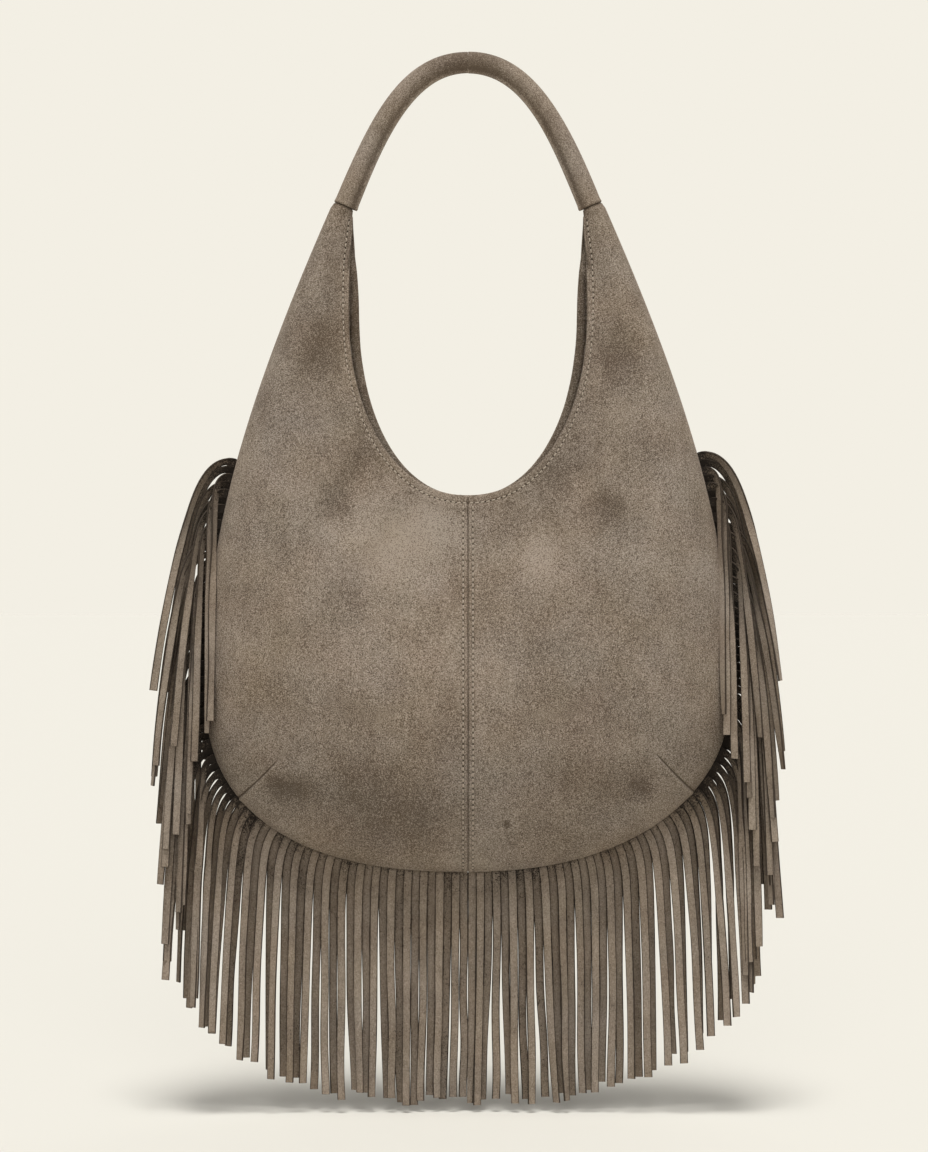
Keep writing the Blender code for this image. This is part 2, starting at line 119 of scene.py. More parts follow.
tree.links.new(surround.outputs[0], tree.nodes["World Output"].inputs["Surface"])

for name, strength, spread, direction in LAMPS:
    lamp_data = bpy.data.lights.new(name, "SUN")
    lamp_data.energy = strength
    lamp_data.angle = math.radians(spread)
    lamp = bpy.data.objects.new(name, lamp_data)
    lamp.rotation_mode = "QUATERNION"
    lamp.rotation_quaternion = direction.to_track_quat("-Z", "Y")
    bpy.context.scene.collection.objects.link(lamp)

lamp_light = sum(strength * -direction.z for _, strength, _, direction in LAMPS) / math.pi
floor_light = (SKY_LIGHT + lamp_light) * SPREAD_LOSS
floor_z = cad_low.z - HANG_CLEARANCE
corners = [(x, y, floor_z) for x, y in ((-1, -1), (1, -1), (1, 1), (-1, 1))]
corners = [(x * FLOOR_HALF_SIZE, y * FLOOR_HALF_SIZE, z) for x, y, z in corners]
floor_mesh = bpy.data.meshes.new("studio_floor")
floor_mesh.from_pydata(corners, [], [(0, 1, 2, 3)])
floor = bpy.data.objects.new("studio_floor", floor_mesh)
bpy.context.scene.collection.objects.link(floor)

sweep = bpy.data.materials.new("ivory_sweep")
sweep.use_nodes = True
tree = sweep.node_tree
tree.nodes.clear()
rays = tree.nodes.new("ShaderNodeLightPath")
matte = tree.nodes.new("ShaderNodeBsdfDiffuse")
matte.inputs["Color"].default_value = (*(channel * (1 - FLOOR_GLOW) / floor_light for channel in IVORY), 1)
glow = tree.nodes.new("ShaderNodeEmission")
glow.inputs["Color"].default_value = (*IVORY, 1)
glow_strength = tree.nodes.new("ShaderNodeMath")
glow_strength.operation = "MULTIPLY"
glow_strength.inputs[1].default_value = FLOOR_GLOW
together = tree.nodes.new("ShaderNodeAddShader")
surface_out = tree.nodes.new("ShaderNodeOutputMaterial")
tree.links.new(rays.outputs["Is Camera Ray"], glow_strength.inputs[0])
tree.links.new(glow_strength.outputs[0], glow.inputs["Strength"])
tree.links.new(matte.outputs[0], together.inputs[0])
tree.links.new(glow.outputs[0], together.inputs[1])
tree.links.new(together.outputs[0], surface_out.inputs["Surface"])
floor_mesh.materials.append(sweep)


# The pouch is four panels of taupe suede, 1.2 mm thick: left and right halves, front and back.
# They are cut flat, darted at the lower corners, seamed down the middle and along the sides with
# the flesh side out, and their neck edges are turned in and topstitched.
SUEDE = 1.2 * MM
CLEARANCE = 0.3 * MM
LEFT, RIGHT = -1, 1
FRONT, BACK = -1, 1
panel_low, panel_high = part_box("front_panel_right")
BODY_HALF_WIDTH = panel_high.x
BOTTOM_Z = panel_low.z
WIDEST_Z = -430 * MM
BELLY_FULLNESS = {LEFT: 2.45, RIGHT: 2.2}
FLANK_RISE = 100 * MM
FLANK_SHOULDER = 156 * MM
FLANK_SLOPE = 0.44
NECK_WIDEST_Z = -166 * MM
NECK_BOTTOM_Z = -297 * MM
NECK_HALF_WIDTH = {FRONT: 84 * MM, BACK: 77.5 * MM}
NECK_FULLNESS = 2.15
NECK_BOW = 30 * MM
# Half depth at the belly's crest and at the mouth, by the share of the way up the side seam
BELLY_DEPTH = ((0.0, 40 * MM), (0.45, 37 * MM), (0.8, 20 * MM), (0.93, 11.5 * MM), (1.0, 7.4 * MM))
MOUTH_DEPTH = ((0.0, 14 * MM), (0.5, 15 * MM), (0.8, 11 * MM), (0.93, 5 * MM), (1.0, 1.0 * MM))
CREST = 0.44
SEAM_ROUNDNESS = 0.62
PEAK_ROUNDNESS = 0.5
PEAK_ROUNDS_FROM = 0.75
PEAK_CLOSES_FROM = 0.9
NECK_EVEN_SHARE = 0.45
NECK_CATCH_UP = 2.6
RIB_BEND = 0.42
HANDLE_END = np.array((86.8 * MM, -93 * MM))
END_TILT = math.radians(22)
HANDLE_DOWN = np.array((math.sin(END_TILT), -math.cos(END_TILT)))
HANDLE_OUT = np.array((math.cos(END_TILT), math.sin(END_TILT)))
COVER_RADIUS_CROWN = 6.3 * MM
COVER_RADIUS_END = 7.2 * MM
HORN_DROP = 5 * MM
HORN_HALF_WIDTH = 8.2 * MM
PEAK_PLAY = 0.6 * MM
PEAK_RADIUS = COVER_RADIUS_END - SUEDE - PEAK_PLAY
PEAK_SLIT = 0.7 * MM
PEAK_TUCK = 8 * MM
FRINGE_TOP_Z = -269 * MM
MIDDLE_GAP = 0.0
STRIP_THICKNESS = 1.25 * MM
SEAM_CLOSING = 0.012
SEAM_SLACK = 0.1 * MM
HORN_TOP = HANDLE_END + HANDLE_DOWN * HORN_DROP
SAME_POINT = 1e-7
DIRECTION_REACH = (0.4 * MM, 6 * MM)


def smoothstep(share):
    share = np.clip(share, 0.0, 1.0)
    return share * share * (3 - 2 * share)


def bump(distance, width):
    return np.exp(-((distance / width) ** 2))


def bezier(p0, p1, p2, p3, steps=48):
    t = np.linspace(0, 1, steps + 1)[:, None]
    return (1 - t) ** 3 * p0 + 3 * t * (1 - t) ** 2 * p1 + 3 * t * t * (1 - t) * p2 + t**3 * p3


def quarter_superellipse(half_width, widest_z, lowest_z, fullness, steps=400):
    angle = np.linspace(0, math.pi / 2, steps + 1)
    x = half_width * np.abs(np.sin(angle)) ** (2 / fullness)
    z = widest_z - (widest_z - lowest_z) * np.abs(np.cos(angle)) ** (2 / fullness)
    return np.stack((x, z), -1)


def keyed(keys, at):
    """A smooth curve through the (place, value) keys."""
    places, values = np.array(keys).T
    slopes = np.gradient(values, places)
    for k in range(1, len(keys) - 1):
        slopes[k] = (values[k + 1] - values[k - 1]) / (places[k + 1] - places[k - 1])
    k = np.clip(np.searchsorted(places, at) - 1, 0, len(keys) - 2)
    span = places[k + 1] - places[k]
    t = (at - places[k]) / span
    start = (2 * t**3 - 3 * t**2 + 1) * values[k] + (t**3 - 2 * t**2 + t) * slopes[k] * span
    return start + (3 * t**2 - 2 * t**3) * values[k + 1] + (t**3 - t**2) * slopes[k + 1] * span


def run_along(points):
    """The distance along a line of points, at each of them."""
    return np.r_[0, np.cumsum(np.linalg.norm(np.diff(points, axis=0), axis=1))]


class Edge:
    """A line in the seam plane, as (x, z), that is read by the distance along it."""

    def __init__(self, points):
        steps = np.linalg.norm(np.diff(points, axis=0), axis=1)
        self.points = points[np.r_[True, steps > SAME_POINT]]
        self.lengths = run_along(self.points)
        self.length = self.lengths[-1]

    def at(self, distance):
        x = np.interp(distance, self.lengths, self.points[:, 0])
        z = np.interp(distance, self.lengths, self.points[:, 1])
        return np.stack((x, z), -1)

    def direction(self, distance):
        reach = np.clip(np.minimum(distance, self.length - distance), *DIRECTION_REACH)
        reach = np.reshape(reach, np.shape(distance))
        along = self.at(distance + reach) - self.at(distance - reach)
        return along / np.linalg.norm(along, axis=-1, keepdims=True)

    def outward(self, distance):
        along = self.direction(distance)
        return np.stack((along[..., 1], -along[..., 0]), -1)

    def distance_at_height(self, z):
        return self.lengths[np.argmax(self.points[:, 1] >= z)]


def side_seam(side):
    belly = quarter_superellipse(BODY_HALF_WIDTH, WIDEST_Z, BOTTOM_Z, BELLY_FULLNESS[side])
    top = HORN_TOP + HANDLE_OUT * HORN_HALF_WIDTH
    slope = np.array((FLANK_SLOPE, -1)) / math.hypot(FLANK_SLOPE, 1)
    flank = bezier(belly[-1], belly[-1] + (0, FLANK_RISE), top + slope * FLANK_SHOULDER, top)
    return Edge(np.vstack((belly, flank)))


def neckline(face):
    bowl = quarter_superellipse(NECK_HALF_WIDTH[face], NECK_WIDEST_Z, NECK_BOTTOM_Z, NECK_FULLNESS)
    top = HORN_TOP - HANDLE_OUT * HORN_HALF_WIDTH
    rise = np.array((0, NECK_BOW))
    return Edge(np.vstack((bowl, bezier(bowl[-1], bowl[-1] + rise, top - rise * 0.5, top))))


class Half:
    """A quarter of the pouch's skin. share runs up the side seam, across from the neck to the seam."""

    def __init__(self, side, face):
        self.side, self.face = side, face
        self.seam, self.neck = side_seam(side), neckline(face)
        self.fringe_end = self.seam.distance_at_height(FRINGE_TOP_Z) / self.seam.length

    def seam_gap(self, share):
        closing = smoothstep((share - self.fringe_end) / SEAM_CLOSING)
        return (STRIP_THICKNESS / 2 + SEAM_SLACK) * (1 - closing)

    def surface(self, share, across):
        neck_share = NECK_EVEN_SHARE * share + (1 - NECK_EVEN_SHARE) * share**NECK_CATCH_UP
        start = self.neck.at(neck_share * self.neck.length)
        end = self.seam.at(share * self.seam.length)
        span = np.linalg.norm(end - start, axis=-1, keepdims=True)
        bend = end - self.seam.outward(share * self.seam.length) * span * RIB_BEND
        u = across[..., None]
        flat = (1 - u) ** 2 * start + 2 * u * (1 - u) * bend + u**2 * end
        depth = self.depth(share, across)
        x = np.maximum(flat[..., 0], MIDDLE_GAP)
        return np.stack((self.side * x, self.face * depth, flat[..., 1]), -1)

    def depth(self, share, across):
        crest_depth, mouth = keyed(BELLY_DEPTH, share), keyed(MOUTH_DEPTH, share)
        gap = self.seam_gap(share)
        from_seam = 1 - across
        rounding = smoothstep((share - PEAK_ROUNDS_FROM) / (1 - PEAK_ROUNDS_FROM))
        roundness = SEAM_ROUNDNESS + (PEAK_ROUNDNESS - SEAM_ROUNDNESS) * rounding
        near = np.clip(1 - from_seam / CREST, 0, 1)
        near_depth = gap + (crest_depth - gap) * (1 - near**2) ** roundness
        fall = np.clip((from_seam - CREST) / (1 - CREST), 0, 1)
        closed = smoothstep((share - PEAK_CLOSES_FROM) / (1 - PEAK_CLOSES_FROM))
        rounded_fall = 1 - np.sqrt(np.clip(1 - fall * fall, 0, 1))
        drop = smoothstep(fall) * (1 - closed) + rounded_fall * closed
        far_depth = crest_depth + (mouth - crest_depth) * drop
        return np.where(from_seam < CREST, near_depth, far_depth)

    def horn_section(self, down, radius, across):
        start = math.asin(PEAK_SLIT / PEAK_RADIUS)
        around = start + (math.pi - 2 * start) * (1 - across)
        centre = HANDLE_END + HANDLE_DOWN * down
        flat = centre + HANDLE_OUT * radius * np.cos(around)[..., None]
        return np.stack((self.side * flat[..., 0], self.face * radius * np.sin(around), flat[..., 1]), -1)


HEM_WIDTH = 8 * MM
FOLD_START = 16 * MM
HEM_FOLD = 2 * SUEDE + CLEARANCE
HEM_STITCH = 4.2 * MM
SEAM_STITCH = 3.4 * MM
SEAM_ALLOWANCE = 7 * MM
STITCH_PITCH = 3.9 * MM
DART_SHARE = 0.288
DART_LENGTH = 51 * MM
NECK_STEPS = np.array((0, 0.4, 0.9, 1.6, 2.4, 3.1, 3.6, 4.2, 4.8, 5.3, 6.2, 7.2, 8.2, 9.4, 11)) * MM
SEAM_STEPS = np.array((13, 10, 7.5, 5.5, 4, 2.8, 1.9, 1.2, 0.6, 0.25, 0)) * MM
MIDDLE_STEPS = 56
FINE_ROWS_TO = 24 * MM
FINE_ROW = 0.6 * MM
DART_ROWS_TO = 6 * MM
DART_ROW = 0.5 * MM
PLAIN_ROW = 3.4 * MM
SMALLEST_RIB = 60 * MM
RIB_SAMPLES = np.linspace(0, 1, 241)


def row_shares(seam):
    """Where the rows of a panel's mesh lie: close at the middle seam and at the dart."""
    dart = DART_SHARE * seam.length
    places = [0.0]
    while places[-1] < seam.length:
        here = places[-1]
        fine = here < FINE_ROWS_TO
        at_dart = abs(here - dart) < DART_ROWS_TO
        places.append(here + (FINE_ROW if fine else DART_ROW if at_dart else PLAIN_ROW))
    places = np.array(places[:-1])
    return np.r_[places[seam.length - places > PLAIN_ROW / 2], seam.length] / seam.length


def panel_grid(half):
    """The panel's smooth skin: its points, and how far each lies from the neck and from the seam."""
    shares = row_shares(half.seam)
    points, from_neck, from_seam = [], [], []
    for share in shares:
        run = run_along(half.surface(np.full_like(RIB_SAMPLES, share), RIB_SAMPLES))
        shrink = min(run[-1] / SMALLEST_RIB, 1.0)
        first, last = NECK_STEPS * shrink, run[-1] - SEAM_STEPS * shrink
        middle = np.linspace(first[-1], last[0], MIDDLE_STEPS + 2)[1:-1]
        marks = np.concatenate((first, middle, last))
        across = np.interp(marks, run, RIB_SAMPLES)
        points.append(half.surface(np.full_like(across, share), across))
        from_neck.append(marks)
        from_seam.append(run[-1] - marks)
    return shares, np.array(points), np.array(from_neck), np.array(from_seam)


def grid_normals(points, face, side):
    along, over = np.gradient(points, axis=0), np.gradient(points, axis=1)
    normals = np.cross(along, over)
    normals /= np.maximum(np.linalg.norm(normals, axis=-1, keepdims=True), 1e-12)
    return normals * side * face


SWELL_WAVES = 5


def swell(points, size, seed):
    """A slow, smooth rise and fall between -1 and 1 over the surface."""
    turn = 2 * math.pi / size
    total = np.zeros(points.shape[:-1])
    rng = random.Random(seed)
    for _ in range(SWELL_WAVES):
        way = np.array([rng.uniform(-1, 1) for _ in range(3)])
        way *= rng.uniform(0.7, 1.3) / np.linalg.norm(way)
        total += np.sin(points @ way * turn + rng.uniform(0, 2 * math.pi))
    return total / SWELL_WAVES


# Soft folds of the front: two ends (x, z), half width and depth, in mm, pressed in or pushed out
FOLDS = (
    ((-66, -262), (-112, -338), 11, -3.4),
    ((-46, -285), (-88, -360), 10, 2.2),
    ((72, -272), (114, -340), 11, -3.4),
    ((50, -290), (92, -352), 10, 2.0),
    ((-142, -496), (-106, -503), 7, -3.2),
    ((132, -492), (112, -503), 7, -2.7),
    ((-112, -178), (-100, -222), 12, -1.6),
    ((112, -178), (104, -222), 12, -1.4),
)
# Soft patches of lighter or darker tone: place (x, z) and radius in mm, and how much lighter.
# Some are nap that lies another way. The dark ones along the pressed folds and beside the darts
# are painted shade in those hollows, and the broad dark ones low down make the panels darker
# towards the bottom.
NAP_AND_PAINTED_SHADE_PATCHES = (
    ((-53, -328), 30, 0.34),
    ((-24, -316), 18, 0.14),
    ((46, -340), 17, 0.26),
    ((74, -330), 15, 0.14),
    ((62, -284), 14, -0.32),
    ((92, -306), 14, -0.30),
    ((-74, -276), 14, -0.22),
    ((-90, -302), 13, -0.28),
    ((64, -404), 40, -0.10),
    ((-108, -197), 22, -0.28),
    ((104, -197), 20, -0.20),
    ((-104, -238), 14, 0.10),
    ((102, -242), 14, 0.10),
    ((-66, -508), 44, -0.30),
    ((-14, -515), 24, -0.10),
    ((-136, -497), 7, -0.28),
    ((-125, -499), 10, -0.42),
    ((-112, -502), 9, -0.30),
    ((66, -498), 38, -0.12),
    ((121, -498), 8, -0.38),
    ((110, -502), 20, -0.14),
    ((-100, -462), 14, 0.13),
    ((-168, -445), 8, 0.10),
    ((-164, -470), 7, -0.10),
    ((30, -530), 34, 0.02),
)


# A fold begins and ends softly along its line, and opens out towards its lower end
FOLD_BEGINS, FOLD_BEGINS_OVER = -0.14, 0.35
FOLD_ENDS, FOLD_ENDS_OVER = 0.55, 0.7
FOLD_OPENING = 0.5
FOLD_TOP_WIDTH = 0.8


def fold_press(points):
    press = np.zeros(points.shape[:-1])
    x, z = points[..., 0] / MM, points[..., 2] / MM
    for (x0, z0), (x1, z1), width, depth in FOLDS:
        length = math.hypot(x1 - x0, z1 - z0)
        t = ((x - x0) * (x1 - x0) + (z - z0) * (z1 - z0)) / length**2
        aside = ((x - x0) * (z1 - z0) - (z - z0) * (x1 - x0)) / length
        begun = smoothstep((t - FOLD_BEGINS) / FOLD_BEGINS_OVER)
        ended = smoothstep((t - FOLD_ENDS) / FOLD_ENDS_OVER)
        wide = width * (FOLD_TOP_WIDTH + FOLD_OPENING * np.clip(t, 0, 1.5))
        press += depth * MM * bump(aside, wide) * begun * (1 - ended)
    return press


# The front's nap tone and the painted shade of its folds and hollows, patch by patch
def tone_and_painted_shade(points):
    shade = np.ones(points.shape[:-1])
    x, z = points[..., 0] / MM, points[..., 2] / MM
    for (x0, z0), radius, lighter in NAP_AND_PAINTED_SHADE_PATCHES:
        shade += lighter * bump(np.hypot(x - x0, z - z0), radius)
    return shade


# Slow waves of the slack skin: height, size and seed
WAVES = ((1.6 * MM, 130 * MM, 3), (0.5 * MM, 46 * MM, 9), (0.12 * MM, 15 * MM, 19))
CALM_BY_SEAM = 26 * MM
CALM_ABOVE, CALM_OVER = 0.93, 0.15
BACK_FOLDS = 0.6
HEM_RISE, HEM_STEP = 0.35 * MM, 1.2 * MM
PUCKER_HEIGHT, PUCKER_LENGTH, PUCKER_WIDTH = 0.06 * MM, 9 * MM, 5 * MM
MIDDLE_SHARE, MIDDLE_FADE = 0.2, 0.05
# What seams, stitching and the dart press into the skin or push out: how far, and half width
NECK_GROOVE, NECK_GROOVE_FADE = (0.42 * MM, 0.8 * MM), 0.02
MIDDLE_GROOVE, MIDDLE_GROOVE_LEAST, MIDDLE_GROOVE_FADE = (0.8 * MM, 0.5 * MM), 0.2, 4 * MM
MIDDLE_RIDGE, MIDDLE_RIDGE_AT = (0.35 * MM, 1.3 * MM), 1.7 * MM
STITCH_GROOVE = (0.40 * MM, 0.7 * MM)
DART_FADE = 4 * MM
DART_GROOVE = (1.0 * MM, 0.6 * MM)
DART_LIP, DART_LIP_AT = (0.6 * MM, 1.7 * MM), -2.2 * MM
DART_PIT = (0.8 * MM, 4 * MM)
# How much darker or lighter the same lines are, and half width: painted shade in the neck's stitching,
# the middle seam, its stitching and the dart, and a painted highlight on the dart's lower lip.
# CLOUD is a slow random cloud of tone.
CLOUD, CLOUD_SIZE, CLOUD_SEED = 0.05, 60 * MM, 31
NECK_LINE = (0.20, 0.9 * MM)
MIDDLE_LINE = (0.24, 0.55 * MM)
STITCH_LINE = (0.14, 0.9 * MM)
DART_LINE = (0.70, 0.62 * MM)
DART_SHINE, DART_SHINE_AT = (0.14, 1.3 * MM), -2.0 * MM


def line_bump(distance, size):
    height, width = size
    return height * bump(distance, width)


def dress_panel(half, points, normals, shares, from_neck, from_seam):
    """Presses seams, stitching, dart and folds into the skin. Returns the points and their shade."""
    share = shares[:, None] + np.zeros(points.shape[:2])
    x = np.abs(points[..., 0])
    seam_distance = share * half.seam.length
    own_seed = half.side + 2 * half.face
    calm = smoothstep(from_seam / CALM_BY_SEAM) * smoothstep((CALM_ABOVE - share) / CALM_OVER)
    rise = sum(calm * height * swell(points, size, seed + own_seed) for height, size, seed in WAVES)
    away = smoothstep(from_neck / FOLD_START)
    rise += calm * away * fold_press(points) * (1.0 if half.face == FRONT else BACK_FOLDS)
    rise += calm * HEM_RISE * (1 - smoothstep((from_neck - HEM_WIDTH) / HEM_STEP))
    from_stitches = from_neck - HEM_STITCH
    rise -= line_bump(from_stitches, NECK_GROOVE) * smoothstep((1.0 - share) / NECK_GROOVE_FADE)
    pucker = np.cos(2 * math.pi * seam_distance / PUCKER_LENGTH) * bump(from_stitches, PUCKER_WIDTH)
    rise += calm * PUCKER_HEIGHT * pucker
    in_middle = smoothstep((MIDDLE_SHARE - share) / MIDDLE_FADE)
    open_groove = (1 - MIDDLE_GROOVE_LEAST) * smoothstep(from_neck / MIDDLE_GROOVE_FADE)
    rise -= in_middle * line_bump(x, MIDDLE_GROOVE) * (MIDDLE_GROOVE_LEAST + open_groove)
    rise += in_middle * away * line_bump(x - MIDDLE_RIDGE_AT, MIDDLE_RIDGE)
    rise -= in_middle * line_bump(x - SEAM_STITCH, STITCH_GROOVE)
    above_dart = seam_distance - DART_SHARE * half.seam.length
    in_dart = smoothstep((DART_LENGTH - from_seam) / DART_FADE)
    rise -= in_dart * line_bump(above_dart, DART_GROOVE)
    rise += in_dart * line_bump(above_dart - DART_LIP_AT, DART_LIP)
    rise -= line_bump(np.hypot(above_dart, from_seam - DART_LENGTH), DART_PIT)
    dressed = points + normals * rise[..., None]
    dressed[..., 0] = half.side * np.maximum(half.side * dressed[..., 0], MIDDLE_GAP)
    shade = tone_and_painted_shade(points) if half.face == FRONT else np.ones(points.shape[:2])
    shade += CLOUD * swell(points, CLOUD_SIZE, CLOUD_SEED + own_seed)
    # Painted shade along the neck's stitching, the middle seam and its stitching, and the dart, with a
    # painted highlight on the dart's lower lip
    shade -= line_bump(from_stitches, NECK_LINE)
    shade -= in_middle * line_bump(x, MIDDLE_LINE)
    shade -= in_middle * line_bump(x - SEAM_STITCH, STITCH_LINE)
    shade -= in_dart * line_bump(above_dart, DART_LINE)
    shade += in_dart * line_bump(above_dart - DART_SHINE_AT, DART_SHINE)
    return dressed, shade


def mesh_from_grid(name, grid, keep_face, outside, shades):
    """A mesh from rows of points; keep_face says which cells it has, outside turns its faces."""
    rows, columns = grid.shape[:2]
    number = np.arange(rows * columns).reshape(rows, columns)
    corner = np.stack((number[:-1, :-1], number[:-1, 1:], number[1:, 1:], number[1:, :-1]), -1)
    quads = corner[keep_face]
    if outside < 0:
        quads = quads[:, ::-1]
    used = np.unique(quads)
    place = np.full(rows * columns, -1)
    place[used] = np.arange(len(used))
    mesh = bpy.data.meshes.new(name)
    mesh.from_pydata(grid.reshape(-1, 3)[used].tolist(), [], place[quads].tolist())
    shade = mesh.attributes.new("tone_and_painted_shade", "FLOAT", "POINT")
    shade.data.foreach_set("value", shades.reshape(-1)[used].astype(np.float32))
    mesh.shade_smooth()
    obj = bpy.data.objects.new(name, mesh)
    bpy.context.scene.collection.objects.link(obj)
    return obj


def thicken(obj, thickness, offset=-1.0):
    solid = obj.modifiers.new("Thickness", "SOLIDIFY")
    solid.thickness = thickness
    solid.offset = offset
    return solid


SUEDE_SHEEN = 0.28
MOTTLE, DRIFTS, FIBRES = 1.2, 0.9, 1.8
SHADE_STRENGTH = 2.2
TONE_STRENGTH = 0.55
CREVICE_SHADE_TO = 0.10
SATURATION_SPAN, LEAST_SATURATION = 0.5, 0.76
HUE_SPAN, LEAST_HUE = 0.016, 0.492
NAP_HEIGHT = 0.5 * MM


def suede_material(name, colour, dark_colour, light_colour, grain, speckle, spot=None, crevice_shade_colour=None):
    """Napped suede: mottled tone, short fibres that lie in drifts, a soft sheen, and the painted shade and
    highlight that each mesh carries in its shade attribute.
    """
    material = bpy.data.materials.new(name)
    material.use_nodes = True
    tree = material.node_tree
    shader = tree.nodes["Principled BSDF"]
    shader.inputs["Roughness"].default_value = 0.95
    shader.inputs["Specular IOR Level"].default_value = 0.15
    shader.inputs["Sheen Weight"].default_value = SUEDE_SHEEN
    shader.inputs["Sheen Roughness"].default_value = 0.55
    shader.inputs["Sheen Tint"].default_value = (*light_colour, 1)
    place = tree.nodes.new("ShaderNodeTexCoord")

    def noise(scale, detail, roughness, stretch=(1, 1, 1), turn=0):
        mapping = tree.nodes.new("ShaderNodeMapping")
        mapping.inputs["Scale"].default_value = stretch
        mapping.inputs["Rotation"].default_value = (0, math.radians(turn), 0)
        tree.links.new(place.outputs["Object"], mapping.inputs["Vector"])
        node = tree.nodes.new("ShaderNodeTexNoise")
        node.inputs["Scale"].default_value = scale
        node.inputs["Detail"].default_value = detail
        node.inputs["Roughness"].default_value = roughness
        tree.links.new(mapping.outputs[0], node.inputs["Vector"])
        return node.outputs["Fac"]

    def mix(operation, first, second, third=None):
        node = tree.nodes.new("ShaderNodeMath")
        node.operation = operation
        for socket, value in zip(node.inputs, (first, second, third)):
            if value is None:
                continue
            if isinstance(value, (int, float)):
                socket.default_value = value
            else:
                tree.links.new(value, socket)
        return node.outputs[0]

    def both_ways(signal, strength):
        return mix("MULTIPLY_ADD", signal, strength, -strength / 2)

    # The mesh's shade attribute brings in its nap tone, its random tone and its painted shade and highlight
    shade = tree.nodes.new("ShaderNodeAttribute")
    shade.attribute_name = "tone_and_painted_shade"
    mottle = both_ways(noise(scale=26, detail=5, roughness=0.6), MOTTLE)
    drifts = both_ways(noise(scale=110, detail=4, roughness=0.65, stretch=(1, 1, 0.45), turn=35), DRIFTS)
    fibres = both_ways(noise(scale=grain, detail=4, roughness=0.7, stretch=(1, 1, 0.7), turn=20), FIBRES)
    specks = both_ways(noise(scale=grain * 2.2, detail=2, roughness=0.6), speckle)
    tone = mix("ADD", mix("ADD", mottle, drifts), mix("ADD", fibres, specks))
    tone = mix("ADD", tone, mix("MULTIPLY_ADD", shade.outputs["Fac"], SHADE_STRENGTH, -SHADE_STRENGTH))
    if spot:
        centre, radius, darker = spot
        away = tree.nodes.new("ShaderNodeVectorMath")
        away.operation = "DISTANCE"
        away.inputs[1].default_value = centre
        tree.links.new(place.outputs["Object"], away.inputs[0])
        fade = tree.nodes.new("ShaderNodeMapRange")
        fade.interpolation_type = "SMOOTHSTEP"
        fade.inputs["From Min"].default_value = 0.0
        fade.inputs["From Max"].default_value = radius
        fade.inputs["To Min"].default_value = -darker
        fade.inputs["To Max"].default_value = 0.0
        tree.links.new(away.outputs["Value"], fade.inputs["Value"])
        tone = mix("ADD", tone, fade.outputs["Result"])
    ramp = tree.nodes.new("ShaderNodeValToRGB")
    ramp.color_ramp.elements[0].position = 0.0
    ramp.color_ramp.elements[0].color = (*dark_colour, 1)
    ramp.color_ramp.elements[1].position = 1.0
    ramp.color_ramp.elements[1].color = (*light_colour, 1)
    ramp.color_ramp.elements.new(0.5).color = (*colour, 1)
    # The crevice colour at the ramp's dark end is painted shade, for the darkest tones at the fringe's strip
    # edges and roots
    if crevice_shade_colour:
        ramp.color_ramp.elements[0].color = (*crevice_shade_colour, 1)
        ramp.color_ramp.elements.new(CREVICE_SHADE_TO).color = (*dark_colour, 1)
    tree.links.new(mix("MULTIPLY_ADD", tone, TONE_STRENGTH, 0.5), ramp.inputs["Fac"])
    cast = tree.nodes.new("ShaderNodeHueSaturation")
    faded = mix("MULTIPLY_ADD", noise(scale=19, detail=3, roughness=0.5), SATURATION_SPAN, LEAST_SATURATION)
    warmer = mix("MULTIPLY_ADD", noise(scale=33, detail=3, roughness=0.5), HUE_SPAN, LEAST_HUE)
    tree.links.new(faded, cast.inputs["Saturation"])
    tree.links.new(warmer, cast.inputs["Hue"])
    tree.links.new(ramp.outputs["Color"], cast.inputs["Color"])
    tree.links.new(cast.outputs["Color"], shader.inputs["Base Color"])
    relief = tree.nodes.new("ShaderNodeBump")
    relief.inputs["Strength"].default_value = 0.55
    relief.inputs["Distance"].default_value = NAP_HEIGHT
    tree.links.new(mix("MULTIPLY", mix("ADD", fibres, drifts), 0.5), relief.inputs["Height"])
    tree.links.new(relief.outputs["Normal"], shader.inputs["Normal"])
    return material


TAUPE = (0.207, 0.164, 0.124)
TAUPE_DARK = (0.091, 0.067, 0.047)
TAUPE_LIGHT = (0.341, 0.284, 0.228)
# One small dark mark low on the front's right half: where it is, its radius and how dark it is
BLEMISH = ((26.6 * MM, -27.9 * MM, -523.5 * MM), 4.2 * MM, 1.5)
panel_suede = suede_material(
    "taupe_suede", TAUPE, TAUPE_DARK, TAUPE_LIGHT, grain=620, speckle=6.6, spot=BLEMISH
)

# The peak's sections: how far below the handle's end, their radius, and how fully they take it
PEAK_SECTIONS = (
    (4.2 * MM, 8.0 * MM, 0.35),
    (3.2 * MM, 7.8 * MM, 0.7),
    (2.2 * MM, 7.5 * MM, 1.0),
    (1.2 * MM, 7.3 * MM, 1.0),
    (0.7 * MM, 7.0 * MM, 1.0),
    (0.4 * MM, 6.3 * MM, 1.0),
    (CLEARANCE, PEAK_RADIUS, 1.0),
    (-2 * MM, PEAK_RADIUS, 1.0),
    (-PEAK_TUCK, PEAK_RADIUS, 1.0),
)
THIN_FOLD = 0.35 * MM
FOLD_TURNS = (0.8, 0.6, 0.4, 0.2)
HEM_FULL_TO, HEM_THINS_OVER = 0.78, 0.2
HEM_LEAST_WIDTH = 0.3
ALLOWANCE_REACHES = (0.5 * MM, 3 * MM, SEAM_ALLOWANCE)
ALLOWANCE_TRIM, TRIM_FROM = 0.6, 0.8
MIDDLE_TURN = 0.9 * MM


